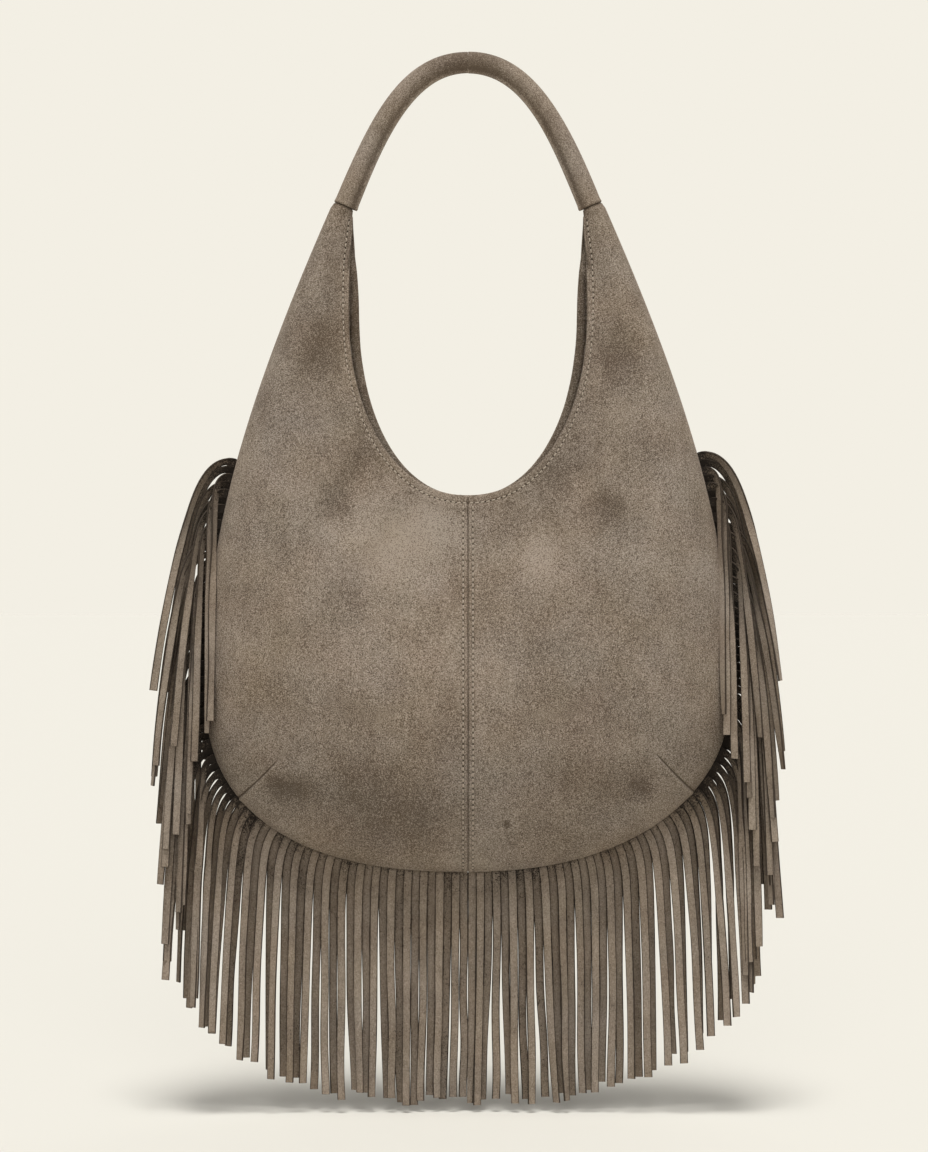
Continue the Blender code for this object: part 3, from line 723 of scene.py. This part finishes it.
def hem_columns(skin, normals, shares):
    """The neck edge turned in: columns from the hem's raw edge, round the fold, to the skin."""
    full = (1 - smoothstep((shares - HEM_FULL_TO) / HEM_THINS_OVER))[:, None, None]
    towards_seam = np.gradient(skin, axis=1)[:, :1]
    towards_seam /= np.linalg.norm(towards_seam, axis=-1, keepdims=True)
    radius = THIN_FOLD + (HEM_FOLD / 2 - THIN_FOLD) * full
    outward = normals[:, :1]
    centre = skin[:, :1] - outward * radius
    start = centre - outward * radius
    end = start + towards_seam * HEM_WIDTH * (HEM_LEAST_WIDTH + (1 - HEM_LEAST_WIDTH) * full)
    columns = [end, (start + end) / 2, start]
    for turn in FOLD_TURNS:
        angle = math.pi * turn
        columns.append(centre + radius * (outward * math.cos(angle) - towards_seam * math.sin(angle)))
    return columns


def allowance_columns(half, shares):
    """The side seam's allowance, which runs on inwards beside the fringe's header."""
    edge = half.seam.at(shares * half.seam.length)
    out = half.seam.outward(shares * half.seam.length)
    trim = 1 - ALLOWANCE_TRIM * smoothstep((shares - TRIM_FROM) / (1 - TRIM_FROM))
    columns = []
    for reach in ALLOWANCE_REACHES:
        flat = edge - out * (reach * trim)[:, None]
        x = half.side * np.maximum(flat[:, 0], MIDDLE_GAP)
        columns.append(np.stack((x, half.face * half.seam_gap(shares), flat[:, 1]), -1)[:, None])
    return columns


def middle_rows(half, spine):
    """The middle seam's allowance, turned in behind the skin, from its raw edge to the skin."""
    along = np.gradient(spine, axis=0)
    out = np.stack((np.zeros(len(spine)), -along[:, 2], along[:, 1]), -1) * half.face
    out /= np.linalg.norm(out, axis=-1, keepdims=True)
    rows = []
    for drop, reach in ((HEM_FOLD, SEAM_ALLOWANCE), (HEM_FOLD, 0.0), (MIDDLE_TURN, 0.0)):
        row = spine - out * drop
        row[:, 0] = half.side * (MIDDLE_GAP + reach)
        rows.append(row)
    return np.array(rows)


def peak_rows(half, last, across):
    """The panel's peak, which narrows at once below the handle's end and tucks up into it."""
    rows = []
    for down, radius, blend in PEAK_SECTIONS:
        rows.append(last + (half.horn_section(down, radius, across) - last) * blend)
    return np.array(rows)


def widened(rows, before, after):
    """Rows with their first and last points repeated, to be as wide as the hemmed grid."""
    return np.concatenate([rows[:, :1]] * before + [rows] + [rows[:, -1:]] * after, axis=1)


def read_row(values, distances, at):
    """The value of each row at one distance from its edge."""
    return np.array([[np.interp(at, d, row[:, c]) for c in range(3)] for row, d in zip(values, distances)])


def read_column(values, x, at):
    """The value of each column where it lies at one distance from the middle seam."""
    order = np.argsort(x, axis=0)
    read = []
    for column in range(values.shape[1]):
        rows = order[:, column]
        read.append([np.interp(at, x[rows, column], values[rows, column, c]) for c in range(3)])
    return np.array(read)


stitch_lines = []
halves = {}
HEM_LAST_COLUMN = int(np.argmax(NECK_STEPS > HEM_WIDTH))
MIDDLE_STOPS_SHORT = 7
FINE_ROWS = 60
MIDDLE_STITCHES = slice(8, -4)
# Painted shade on the hem turned in inside the neck, deeper on the back panel, on the seam allowance inside
# the side seam, and on the peak where it tucks under the handle's end
HEM_SHADE = {FRONT: 0.12, BACK: 0.22}
ALLOWANCE_SHADE = 0.1
PEAK_SHADE, TUCK_SHADE, TUCK_SHADE_BELOW = 0.06, 0.55, 1.3 * MM
peak_shades = [[PEAK_SHADE if down > TUCK_SHADE_BELOW else TUCK_SHADE] for down, *_ in PEAK_SECTIONS]
for face, face_name in ((FRONT, "front"), (BACK, "back")):
    for side, side_name in ((LEFT, "left"), (RIGHT, "right")):
        half = Half(side, face)
        halves[face, side] = half
        shares, points, from_neck, from_seam = panel_grid(half)
        smooth_normals = grid_normals(points, face, side)
        skin, shade = dress_panel(half, points, smooth_normals, shares, from_neck, from_seam)
        normals = grid_normals(skin, face, side)
        hem = hem_columns(skin, normals, shares)
        allowance = allowance_columns(half, shares)
        run = run_along(half.surface(np.ones_like(RIB_SAMPLES), RIB_SAMPLES))
        peak = peak_rows(half, skin[-1], np.interp(from_neck[-1], run, RIB_SAMPLES))
        middle = middle_rows(half, skin[0])
        before, after = len(hem), len(allowance)
        # The hem, the allowance and the peak's tuck take their painted shade
        hem_shade = [shade[:, :1] - HEM_SHADE[face]] * before
        allowance_shade = [shade[:, -1:] - ALLOWANCE_SHADE] * after
        shades = np.concatenate(hem_shade + [shade] + allowance_shade, axis=1)
        middle_shade = np.repeat(shades[:1], len(middle), 0)
        shades = np.concatenate((middle_shade, shades, shades[-1:] - np.array(peak_shades)))
        grid = np.concatenate(hem + [skin] + allowance, axis=1)
        grid = np.concatenate((widened(middle, before, after), grid, widened(peak, before, after)))
        keep = np.ones((grid.shape[0] - 1, grid.shape[1] - 1), bool)
        keep[: len(middle), : before + HEM_LAST_COLUMN] = False
        keep[: len(middle), -(after + MIDDLE_STOPS_SHORT) :] = False
        keep[-len(peak) :, :before] = False
        keep[-len(peak) :, -after:] = False
        panel = mesh_from_grid(f"suede_{face_name}_{side_name}", grid, keep, -side * face, shades)
        panel.data.materials.append(panel_suede)
        thicken(panel, SUEDE)
        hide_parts(f"{face_name}_panel_{side_name}")
        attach(panel, "root")
        neck_line = [read_row(values, from_neck, HEM_STITCH) for values in (skin, normals)]
        stitch_lines.append((f"{face_name}_neck_{side_name}", *neck_line))
        fine_x = np.abs(skin[:FINE_ROWS, :, 0])
        middle_line = [read_column(values[:FINE_ROWS], fine_x, SEAM_STITCH) for values in (skin, normals)]
        middle_line = [line[MIDDLE_STITCHES] for line in middle_line]
        stitch_lines.append((f"{face_name}_middle_{side_name}", *middle_line))


# The rows of topstitching run round the neckline and down both sides of the middle seam.
# The thread is spun polyester in the suede's own tone, and each stitch dives into a needle hole.
THREAD_RADIUS = 0.42 * MM
STITCH_LENGTH = 2.5 * MM
THREAD_SIDES = 6
THREAD_FLATNESS = 1.25
STITCH_RINGS = (0.0, 0.12, 0.32, 0.68, 0.88, 1.0)
STITCH_RISE, STITCH_DIVE = 0.75, 0.35
FIRST_STITCH = 1.5 * MM
LINE_ENDS = 2 * MM
LOOK_AHEAD = 0.3 * MM
# Each needle hole is a small dark cap: painted shade for the hole's dark inside
HOLE_RADIUS = 0.62 * MM
HOLE_SIDES = 8
HOLE_STRETCH = 1.45
HOLE_RIM, HOLE_TOP, HOLE_DEPTH = 0.06 * MM, 0.10 * MM, 0.5 * MM


def plain_material(name, colour, roughness, scale, contrast, relief_height):
    """A fibrous matt finish whose tone and height vary together."""
    material = bpy.data.materials.new(name)
    material.use_nodes = True
    tree = material.node_tree
    shader = tree.nodes["Principled BSDF"]
    shader.inputs["Roughness"].default_value = roughness
    shader.inputs["Specular IOR Level"].default_value = 0.2
    place = tree.nodes.new("ShaderNodeTexCoord")
    grain = tree.nodes.new("ShaderNodeTexNoise")
    grain.inputs["Scale"].default_value = scale
    grain.inputs["Detail"].default_value = 4
    tree.links.new(place.outputs["Object"], grain.inputs["Vector"])
    ramp = tree.nodes.new("ShaderNodeValToRGB")
    for element, lighter in zip(ramp.color_ramp.elements, (1 - contrast, 1 + contrast)):
        element.color = (*(channel * lighter for channel in colour), 1)
    ramp.color_ramp.elements[0].position = 0.3
    ramp.color_ramp.elements[1].position = 0.7
    tree.links.new(grain.outputs["Fac"], ramp.inputs["Fac"])
    tree.links.new(ramp.outputs["Color"], shader.inputs["Base Color"])
    relief = tree.nodes.new("ShaderNodeBump")
    relief.inputs["Strength"].default_value = 0.5
    relief.inputs["Distance"].default_value = relief_height
    tree.links.new(grain.outputs["Fac"], relief.inputs["Height"])
    tree.links.new(relief.outputs["Normal"], shader.inputs["Normal"])
    return material


thread_finish = plain_material("taupe_thread", (0.370, 0.310, 0.245), 0.7, 2500, 0.15, 0.1 * MM)
# The needle holes' near-black finish is painted shade
hole_shade_finish = plain_material("needle_hole_shade", (0.030, 0.022, 0.016), 0.95, 2500, 0.2, 0.1 * MM)


def place_on_line(line, normals, run, at):
    """A point of a stitch line, and the ways along, beside and above the suede there."""
    centre, ahead = (
        Vector([np.interp(place, run, line[:, c]) for c in range(3)]) for place in (at, at + LOOK_AHEAD)
    )
    up = Vector([np.interp(at, run, normals[:, c]) for c in range(3)]).normalized()
    along = (ahead - centre).normalized()
    return centre, along, along.cross(up).normalized(), up


for name, line, normals in stitch_lines:
    run = run_along(line)
    bm = bmesh.new()
    count = int((run[-1] - LINE_ENDS) / STITCH_PITCH)
    for k in range(count):
        start = FIRST_STITCH + k * STITCH_PITCH
        rings = []
        for share in STITCH_RINGS:
            centre, along, beside, up = place_on_line(line, normals, run, start + STITCH_LENGTH * share)
            lift = THREAD_RADIUS * (STITCH_RISE * math.sin(math.pi * share) ** 0.5 - STITCH_DIVE)
            ring = []
            for corner in range(THREAD_SIDES):
                angle = 2 * math.pi * corner / THREAD_SIDES
                away = beside * math.cos(angle) * THREAD_FLATNESS + up * math.sin(angle)
                ring.append(bm.verts.new(centre + up * lift + away * THREAD_RADIUS))
            if rings:
                for corner in range(THREAD_SIDES):
                    following = (corner + 1) % THREAD_SIDES
                    bm.faces.new((rings[-1][corner], ring[corner], ring[following], rings[-1][following]))
            rings.append(ring)
        bm.faces.new(rings[0])
        bm.faces.new(list(reversed(rings[-1])))
        at = start + STITCH_LENGTH + (STITCH_PITCH - STITCH_LENGTH) / 2
        centre, along, beside, up = place_on_line(line, normals, run, at)
        rim = []
        for corner in range(HOLE_SIDES):
            angle = 2 * math.pi * corner / HOLE_SIDES
            away = along * math.cos(angle) * HOLE_STRETCH + beside * math.sin(angle)
            rim.append(bm.verts.new(centre + up * HOLE_RIM + away * HOLE_RADIUS))
        lower = bm.verts.new(centre - up * HOLE_DEPTH)
        upper = bm.verts.new(centre + up * HOLE_TOP)
        for corner in range(HOLE_SIDES):
            following = (corner + 1) % HOLE_SIDES
            for tip, pair in ((upper, (rim[corner], rim[following])), (lower, (rim[following], rim[corner]))):
                hole_face = bm.faces.new((tip, *pair))
                hole_face.material_index = 1
    bmesh.ops.recalc_face_normals(bm, faces=bm.faces)
    mesh = bpy.data.meshes.new(f"stitching_{name}")
    bm.to_mesh(mesh)
    bm.free()
    mesh.shade_smooth()
    mesh.materials.append(thread_finish)
    mesh.materials.append(hole_shade_finish)
    stitching = bpy.data.objects.new(mesh.name, mesh)
    bpy.context.scene.collection.objects.link(stitching)
    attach(stitching, "root")


# The lining is two pieces of thin dark cloth, sewn under the turned neck edges and closed along
# their own edge just inside the side seam.
LINING = 0.7 * MM
LINING_DROP = 2 * SUEDE + 2 * CLEARANCE
LINING_SLACK = 7 * MM
LINING_INSET = 3 * MM
LINING_TOP_SHARE = 0.78
LINING_ACROSS = (0.06, 0.955)
LINING_ROWS = 70
LINING_COLUMNS = 46

lining_cloth = plain_material("lining_cloth", (0.10, 0.082, 0.066), 0.9, 900, 0.25, 0.15 * MM)
for face, face_name in ((FRONT, "front"), (BACK, "back")):
    rows = []
    for side in (LEFT, RIGHT):
        half = halves[face, side]
        shares = np.linspace(0, LINING_TOP_SHARE, LINING_ROWS)
        across = np.linspace(*LINING_ACROSS, LINING_COLUMNS)
        share_grid, across_grid = np.meshgrid(shares, across, indexing="ij")
        skin = half.surface(share_grid, across_grid)
        drop = LINING_DROP + LINING_SLACK * np.sin(math.pi * across_grid)
        cloth = skin - grid_normals(skin, face, side) * drop[..., None]
        cloth[0, :, 0] = 0.0
        flat = half.seam.at(shares * half.seam.length)
        flat = flat - half.seam.outward(shares * half.seam.length) * (SEAM_ALLOWANCE + LINING_INSET)
        from_middle = np.full(len(flat), face * (LINING / 2 + CLEARANCE))
        edge = np.stack((side * flat[:, 0], from_middle, flat[:, 1]), -1)
        edge[0, 0] = 0.0
        cloth = np.concatenate((cloth, edge[:, None]), axis=1)
        rows.append(cloth[::-1] if side == LEFT else cloth[1:])
    grid = np.concatenate(rows, axis=0)
    keep = np.ones((grid.shape[0] - 1, grid.shape[1] - 1), bool)
    lining = mesh_from_grid(f"lining_cloth_{face_name}", grid, keep, -face, np.ones(grid.shape[:2]))
    lining.data.materials.append(lining_cloth)
    thicken(lining, LINING)
    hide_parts(f"lining_{face_name}")
    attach(lining, "root")


# The handle is a rope in a sleeve of suede, made in a left and a right half that butt at the crown.
# Each half is closed along its inner side, and its lower end is turned in over the panels' peaks.
COVER_FLANGE = 2.3 * MM
CROWN_PULL = 43 * MM
END_PULL = 60 * MM
CROWN = np.array((0, COVER_RADIUS_CROWN + COVER_FLANGE))
SLEEVE_FACETS = 40
SLEEVE_STATION = 1.6 * MM
BUTT_STATIONS = np.array((0.02, 0.2, 0.5, 0.9, 1.4, 2.2)) * MM
END_STATIONS = np.array((4.4, 3.8, 3.2, 2.6, 2, 1.4, 0.8, 0.3, 0)) * MM
PLAIN_FROM, PLAIN_TO_END = 3.4 * MM, 5 * MM
LIP_TURN = 0.16
LIP_EDGE = (0.3 * MM, 0.35 * MM)
LIP_FOOT = (0.35 * MM, 0.12 * MM)
# What swells or dips the sleeve, and the painted shade and highlight on it, by the distance from an end: how
# much, and half width
END_WELT, END_WELT_AT = (0.30 * MM, 1.4 * MM), 1.2 * MM
END_ROLL = (0.40 * MM, 0.35 * MM)
BUTT_DIP = (0.14 * MM, 0.4 * MM)
LUMP_HEIGHT, LUMP_LENGTH = 0.10 * MM, 17 * MM
END_SHADE = (0.20, 0.9 * MM)
CROWN_SHADE, CROWN_SHADE_AT = (0.36, 22 * MM), 3 * MM
LIP_LIGHT = (0.20, 1.3 * MM)
LIP_SHADE, LIP_SHADE_AT = (0.26, 1.5 * MM), 3.4 * MM
BUTT_LIGHT = (0.25, 0.8 * MM)
crown_pull, end_pull = np.array((CROWN_PULL, 0)), HANDLE_DOWN * END_PULL
handle_line = Edge(bezier(CROWN, CROWN + crown_pull, HANDLE_END - end_pull, HANDLE_END, 120))


def sleeve_section(radius):
    """The sleeve's section as (towards the inner side, sideways), from lip to lip."""
    half_gap = SUEDE + CLEARANCE / 2
    start = math.asin(half_gap / radius) + LIP_TURN
    angles = np.linspace(start, 2 * math.pi - start, SLEEVE_FACETS)
    body = np.stack((radius * np.cos(angles), radius * np.sin(angles)), -1)
    lip = [
        (radius + COVER_FLANGE, half_gap - LIP_EDGE[1]),
        (radius + COVER_FLANGE - LIP_EDGE[0], half_gap),
        (radius + COVER_FLANGE / 2, half_gap),
        (radius + LIP_FOOT[0], half_gap + LIP_FOOT[1]),
    ]
    other = [(inward, -sideways) for inward, sideways in reversed(lip)]
    return np.vstack((lip, body, other))


handle_suede = suede_material(
    "handle_suede", (0.225, 0.178, 0.135), (0.099, 0.072, 0.051), (0.370, 0.309, 0.248),
    grain=700, speckle=5.6,
)
for side, side_name in ((LEFT, "left"), (RIGHT, "right")):
    plain_stations = np.arange(PLAIN_FROM, handle_line.length - PLAIN_TO_END, SLEEVE_STATION)
    rows, shades = [], []
    for distance in np.r_[BUTT_STATIONS, plain_stations, handle_line.length - END_STATIONS]:
        widening = (COVER_RADIUS_END - COVER_RADIUS_CROWN) * distance / handle_line.length
        from_end = handle_line.length - distance
        radius = COVER_RADIUS_CROWN + widening
        radius += line_bump(from_end - END_WELT_AT, END_WELT) - line_bump(from_end, END_ROLL)
        radius -= line_bump(distance, BUTT_DIP)
        radius += LUMP_HEIGHT * math.sin(distance / LUMP_LENGTH + side)
        section = sleeve_section(radius)
        centre = handle_line.at(distance)
        along = handle_line.direction(distance)
        inner = np.array((along[1], -along[0]))
        flat = centre + section[:, :1] * inner
        rows.append(np.stack((side * flat[:, 0], section[:, 1], flat[:, 1]), -1))
        from_lip = radius + COVER_FLANGE - section[:, 0]
        # Painted shade in the crease at the sleeve's turned end, darker over the crown, a painted highlight
        # along the lip's edge with painted shade beside it, and at the butt a painted highlight on the inner
        # half and painted shade on the outer half
        tone = 1 - line_bump(from_end, END_SHADE) - line_bump(distance - CROWN_SHADE_AT, CROWN_SHADE)
        lip_tone = line_bump(from_lip, LIP_LIGHT) - line_bump(from_lip - LIP_SHADE_AT, LIP_SHADE)
        butt_tone = line_bump(distance, BUTT_LIGHT) * section[:, 0] / radius
        shades.append(tone + lip_tone + butt_tone)
    grid = np.array(rows)
    keep = np.ones((grid.shape[0] - 1, grid.shape[1] - 1), bool)
    sleeve = mesh_from_grid(f"handle_sleeve_{side_name}", grid, keep, side, np.array(shades))
    sleeve.data.materials.append(handle_suede)
    thicken(sleeve, SUEDE)
    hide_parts(f"handle_cover_{side_name}")
    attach(sleeve, "root")


# The core is a cotton rope that keeps the sleeve round. The sleeve hides all of it, so its solid
# stays as it is and only takes a plain fibrous finish.
rope_finish = plain_material("cotton_rope", (0.55, 0.5, 0.42), 0.9, 400, 0.2, 0.4 * MM)
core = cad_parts["handle_core"]
core.data.materials.clear()
core.data.materials.append(rope_finish)


# The fringe is two combs of suede, left and right, sewn into the side seams from the middle of the
# bottom up to the flank. Each strip is cut square, hangs by its own weight and turns a little.
STRIP_PITCH = 5.5 * MM
ROOT_LAP = 0.8 * MM
ROOT_TAPER = 38 * MM
STRIP_COLUMNS = np.array((-1, -0.8, 0, 0.8, 1))
STRIP_LENGTH_BOTTOM = 160 * MM
STRIP_LENGTH_TOP = 178 * MM
STRIP_UNEVENNESS = 4 * MM
LENGTH_SEED = 5
HANG_SEED = 45
HEADER_DEPTH = 6.5 * MM
STIFF_ROOT = 3 * MM
LONGEST_TURN = 15 * MM
LONGEST_TURN_AT_WIDEST = 13 * MM
SHORTEST_TURN = 8 * MM
CORNER_TURN = 11 * MM
LEAST_LEAN = math.radians(2)
MOST_LEAN = math.radians(17)
MOST_LEAN_AT_WIDEST = math.radians(8)
LEAN_LOSS = 0.6
SIDE_TILT = math.radians(60)
SIDE_TILT_BLEND = math.radians(15)
SPREAD_PER_DROP = 0.12
SPREAD_AT_BOTTOM = 0.015
STEP_APART = 0.95 * MM
DRIFT_POWER = 1.9
DRIFT_POWER_ASLANT = 1.0
ROOM_SHARE = 0.25
SWING = 2.0 * MM
EXTRA_DEPTH = 1.3 * MM
EXTRA_DEPTH_FROM = 30 * MM
CLOSE_TURNS = (4 * MM, 8 * MM)
CLOSE_SHARE = 0.35
MIDDLE_COLUMN = len(STRIP_COLUMNS) // 2
BUNCH_GAPS = np.array((-2.0, -1.6, -1.2, -0.9, -0.6, -0.2, 0.3, 0.9, 1.6, 4.4)) * MM
BUNCH_REACH = 8
TOP_TURNS = np.array((14, 12.5, 5.5, 11, 6.5, 10, 9)) * MM
TOP_LEANS = np.radians((17.5, 15.5, 1, 13.5, 0, 12, 9))
TOP_CURL = math.radians(-50)
SIDE_CURL = math.radians(-54)
CURL_LENGTH = 48 * MM
CURL_START = 8 * MM
TWIST_POWER = 1.2
TWIST_SPREAD = math.radians(16)
SIDE_TWIST_SPREAD = math.radians(34)
MOST_TWIST = math.radians(70)
# Painted shade on the fringe: darker roots under the panel's edge, more on the flanks; darker strips, by a
# random amount, in the back layer; and dark bands along each strip's edges with a faint painted highlight
# along its middle
ROOT_SHADE = 0.25
SIDE_ROOT_SHADE = 0.45
ROOT_SHADE_LENGTH = 11 * MM
SIDE_SHADE_LENGTH = 9 * MM
BACK_SHADES = (0.0, 0.02, 0.03, 0.05, 0.08)
STRIP_SHADES = np.array((-1.1, 0, 0.04, 0, -1.1))
STRIP_TONES = (0.92, 1.07)
RIPPLE_DEGREES = (4, 14)
RIPPLE_LENGTHS = (70, 130)
SWAY = 0.9 * MM
SWAY_LOSS = 0.6
CUP_DEPTHS = (0.1, 0.4)
CUP_START = 12 * MM
ROOT_STATIONS = np.arange(1, 25, 2) * MM
PLAIN_STATIONS_FROM = 26 * MM
STATION = 4.0 * MM
TRACE_STEP = 0.5 * MM
CUT_WEAR = 0.22 * MM
CUT_ANGLE = math.radians(50)


def strip_bend(tilt, height, play):
    """How long a strip takes to turn down from its root, and how far it still leans outward then."""
    lowered = smoothstep((FRINGE_TOP_Z - height) / (FRINGE_TOP_Z - WIDEST_Z))
    longest = LONGEST_TURN + (LONGEST_TURN_AT_WIDEST - LONGEST_TURN) * lowered
    on_side = smoothstep((tilt - SIDE_TILT) / SIDE_TILT_BLEND)
    turn = CORNER_TURN * (1 - on_side) + play.uniform(SHORTEST_TURN, longest) * on_side
    return turn, play.uniform(LEAST_LEAN, MOST_LEAN + (MOST_LEAN_AT_WIDEST - MOST_LEAN) * lowered)


def bunching(count, play):
    """How far each strip's tip drifts sideways, where strips lean together and leave gaps."""
    gaps = np.array([play.choice(BUNCH_GAPS) for _ in range(count)])
    walk = np.cumsum(gaps - gaps.mean())
    window = 2 * BUNCH_REACH + 1
    return walk - np.convolve(np.pad(walk, BUNCH_REACH, "edge"), np.ones(window) / window, "valid")


def strip_stations(root, tilt, length, layer, turn, outward, curl, drift, play):
    """How far along it lies and the points across it, for each station of a hanging strip."""
    steep = smoothstep(tilt / SIDE_TILT)
    spread = SPREAD_AT_BOTTOM + (SPREAD_PER_DROP - SPREAD_AT_BOTTOM) * steep
    twist_spread = TWIST_SPREAD + (SIDE_TWIST_SPREAD - TWIST_SPREAD) * smoothstep(2 * tilt / SIDE_TILT - 1)
    twist_end = max(-MOST_TWIST, min(MOST_TWIST, play.gauss(0, twist_spread)))
    ripple = math.radians(play.uniform(*RIPPLE_DEGREES))
    ripple_length = play.uniform(*RIPPLE_LENGTHS) * MM
    ripple_start = play.uniform(0, 2 * math.pi)
    sway = play.uniform(-SWAY, SWAY) * (1 - SWAY_LOSS * steep)
    swing = play.uniform(-SWING, SWING)
    extra = play.uniform(0, EXTRA_DEPTH)
    cup = play.uniform(*CUP_DEPTHS) * MM * play.choice((-1, 1))
    drift_power = DRIFT_POWER + (DRIFT_POWER_ASLANT - DRIFT_POWER) * steep
    position = np.array(root, float)
    travelled = 0.0
    stations = []
    for mark in np.r_[ROOT_STATIONS, np.arange(PLAIN_STATIONS_FROM, length - STATION / 2, STATION), length]:
        while travelled < mark - SAME_POINT:
            pace = min(TRACE_STEP, mark - travelled)
            lean = outward * steep * (1 - LEAN_LOSS * travelled / length)
            angle = lean + (tilt - lean) * math.exp(-max(travelled - STIFF_ROOT, 0.0) / turn)
            position = position + np.array((math.sin(angle), -math.cos(angle))) * pace
            travelled += pace
        down = travelled / length
        wave = math.sin(travelled / ripple_length * 2 * math.pi + ripple_start)
        x = position[0] + drift * down**drift_power + sway * down * wave
        uncurled = smoothstep((travelled - CURL_LENGTH) / CURL_LENGTH)
        curled = curl * smoothstep(travelled / CURL_START) * (1 - uncurled)
        twist = curled + twist_end * down**TWIST_POWER + ripple * wave * down
        half_width = STRIP_PITCH / 2 + ROOT_LAP / 2 * bump(travelled, ROOT_TAPER)
        station = []
        for across in STRIP_COLUMNS:
            aside = across * half_width
            px = x + math.cos(angle) * aside * math.cos(twist)
            pz = position[1] + math.sin(angle) * aside * math.cos(twist)
            py = layer * (STEP_APART + spread * (root[1] - pz)) + swing * down + aside * math.sin(twist)
            py += layer * extra * smoothstep(travelled / EXTRA_DEPTH_FROM)
            py += cup * (1 - across**2) * min(travelled / CUP_START, 1.0)
            station.append((px, py, pz))
        stations.append((travelled, station))
    return stations


# The fringe's suede reaches a crevice colour of painted shade at its darkest
fringe_suede = suede_material(
    "fringe_suede", (0.212, 0.168, 0.127), (0.112, 0.086, 0.063), (0.340, 0.284, 0.228),
    grain=760, speckle=2.7, crevice_shade_colour=(0.016, 0.012, 0.009),
)
# The strips' cut sides take a darker copy of the fringe suede: painted shade on the sides
cut_edge_shade = suede_material(
    "cut_edge_shade", (0.112, 0.087, 0.065), (0.045, 0.034, 0.025), (0.190, 0.155, 0.120),
    grain=900, speckle=3.6,
)
for side, side_name in ((LEFT, "left"), (RIGHT, "right")):
    lengths = random.Random(LENGTH_SEED + side)
    play = random.Random(HANG_SEED + side)
    seam = halves[FRONT, side].seam
    fringe_length = seam.distance_at_height(FRINGE_TOP_Z)
    count = 2 * int(fringe_length / STRIP_PITCH / 2)
    bunches = bunching(count, play)
    bm = bmesh.new()
    shade_layer = bm.verts.layers.float.new("tone_and_painted_shade")
    area = fringe_length * HEADER_DEPTH

    def vertex(x, y, z, tone):
        made = bm.verts.new((side * max(x, MIDDLE_GAP), y, z))
        made[shade_layer] = tone
        return made

    corner = None
    for k in range(count):
        at = CLEARANCE + (k + 0.5 + STRIP_COLUMNS / 2) * STRIP_PITCH
        ends, outwards = seam.at(at), seam.outward(at)
        share = at[MIDDLE_COLUMN] / fringe_length
        length = STRIP_LENGTH_BOTTOM + (STRIP_LENGTH_TOP - STRIP_LENGTH_BOTTOM) * share
        length += lengths.uniform(-STRIP_UNEVENNESS, STRIP_UNEVENNESS)
        area += STRIP_PITCH * length
        layer = -1 if k % 2 else 1
        root, outward = ends[MIDDLE_COLUMN], outwards[MIDDLE_COLUMN]
        tilt = math.atan2(outward[0], -outward[1])
        turn, lean = strip_bend(tilt, root[1], play)
        room = max(math.cos(min(tilt, math.pi / 2)) - ROOM_SHARE, 0.0) / (1 - ROOM_SHARE)
        drift = bunches[k] * room
        if tilt > SIDE_TILT and play.random() < CLOSE_SHARE:
            turn, lean = play.uniform(*CLOSE_TURNS), LEAST_LEAN
        from_top = count - 1 - k
        on_side = smoothstep(2 * tilt / SIDE_TILT - 1)
        curl = SIDE_CURL * on_side
        if from_top < len(TOP_TURNS):
            turn, lean, curl = TOP_TURNS[from_top], TOP_LEANS[from_top], TOP_CURL
        # Back-layer strips take painted shade, and each strip's root takes painted shade under the panel's
        # edge
        tone = play.uniform(*STRIP_TONES) - (play.choice(BACK_SHADES) if layer == 1 else 0.0)
        root_shade = ROOT_SHADE + SIDE_ROOT_SHADE * on_side
        shade_length = ROOT_SHADE_LENGTH + SIDE_SHADE_LENGTH * on_side
        places = [vertex(p[0], 0.0, p[1], tone - root_shade) for p in ends - outwards * HEADER_DEPTH]
        roots = [vertex(p[0], 0.0, p[1], tone - root_shade) for p in ends]
        if corner:
            for made in (places[0], roots[0]):
                bm.verts.remove(made)
            places[0], roots[0] = corner
        corner = places[-1], roots[-1]
        for a in range(len(STRIP_COLUMNS) - 1):
            bm.faces.new((places[a], places[a + 1], roots[a + 1], roots[a]))
        previous = roots
        for travelled, station in strip_stations(root, tilt, length, layer, turn, lean, curl, drift, play):
            # The root's painted shade fades down the strip; the edge columns take painted shade and the
            # middle a faint painted highlight
            here = tone - root_shade * math.exp(-travelled / shade_length)
            row = [vertex(*point, here + shade) for point, shade in zip(station, STRIP_SHADES)]
            for a in range(len(STRIP_COLUMNS) - 1):
                bm.faces.new((previous[a], previous[a + 1], row[a + 1], row[a]))
            previous = row
    bmesh.ops.recalc_face_normals(bm, faces=bm.faces)
    mesh = bpy.data.meshes.new(f"fringe_comb_{side_name}")
    bm.to_mesh(mesh)
    bm.free()
    mesh.shade_smooth()
    comb = bpy.data.objects.new(mesh.name, mesh)
    bpy.context.scene.collection.objects.link(comb)
    mesh.materials.append(fringe_suede)
    mesh.materials.append(cut_edge_shade)
    solid = thicken(comb, STRIP_THICKNESS, 0.0)
    # The rims take the darker copy, painted shade on the cut sides
    solid.material_offset_rim = 1
    soften = comb.modifiers.new("Cut edge", "BEVEL")
    soften.width = CUT_WEAR
    soften.segments = 1
    soften.limit_method = "ANGLE"
    soften.angle_limit = CUT_ANGLE
    soften.harden_normals = True
    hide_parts(f"fringe_{side_name}")
    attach(comb, "root")
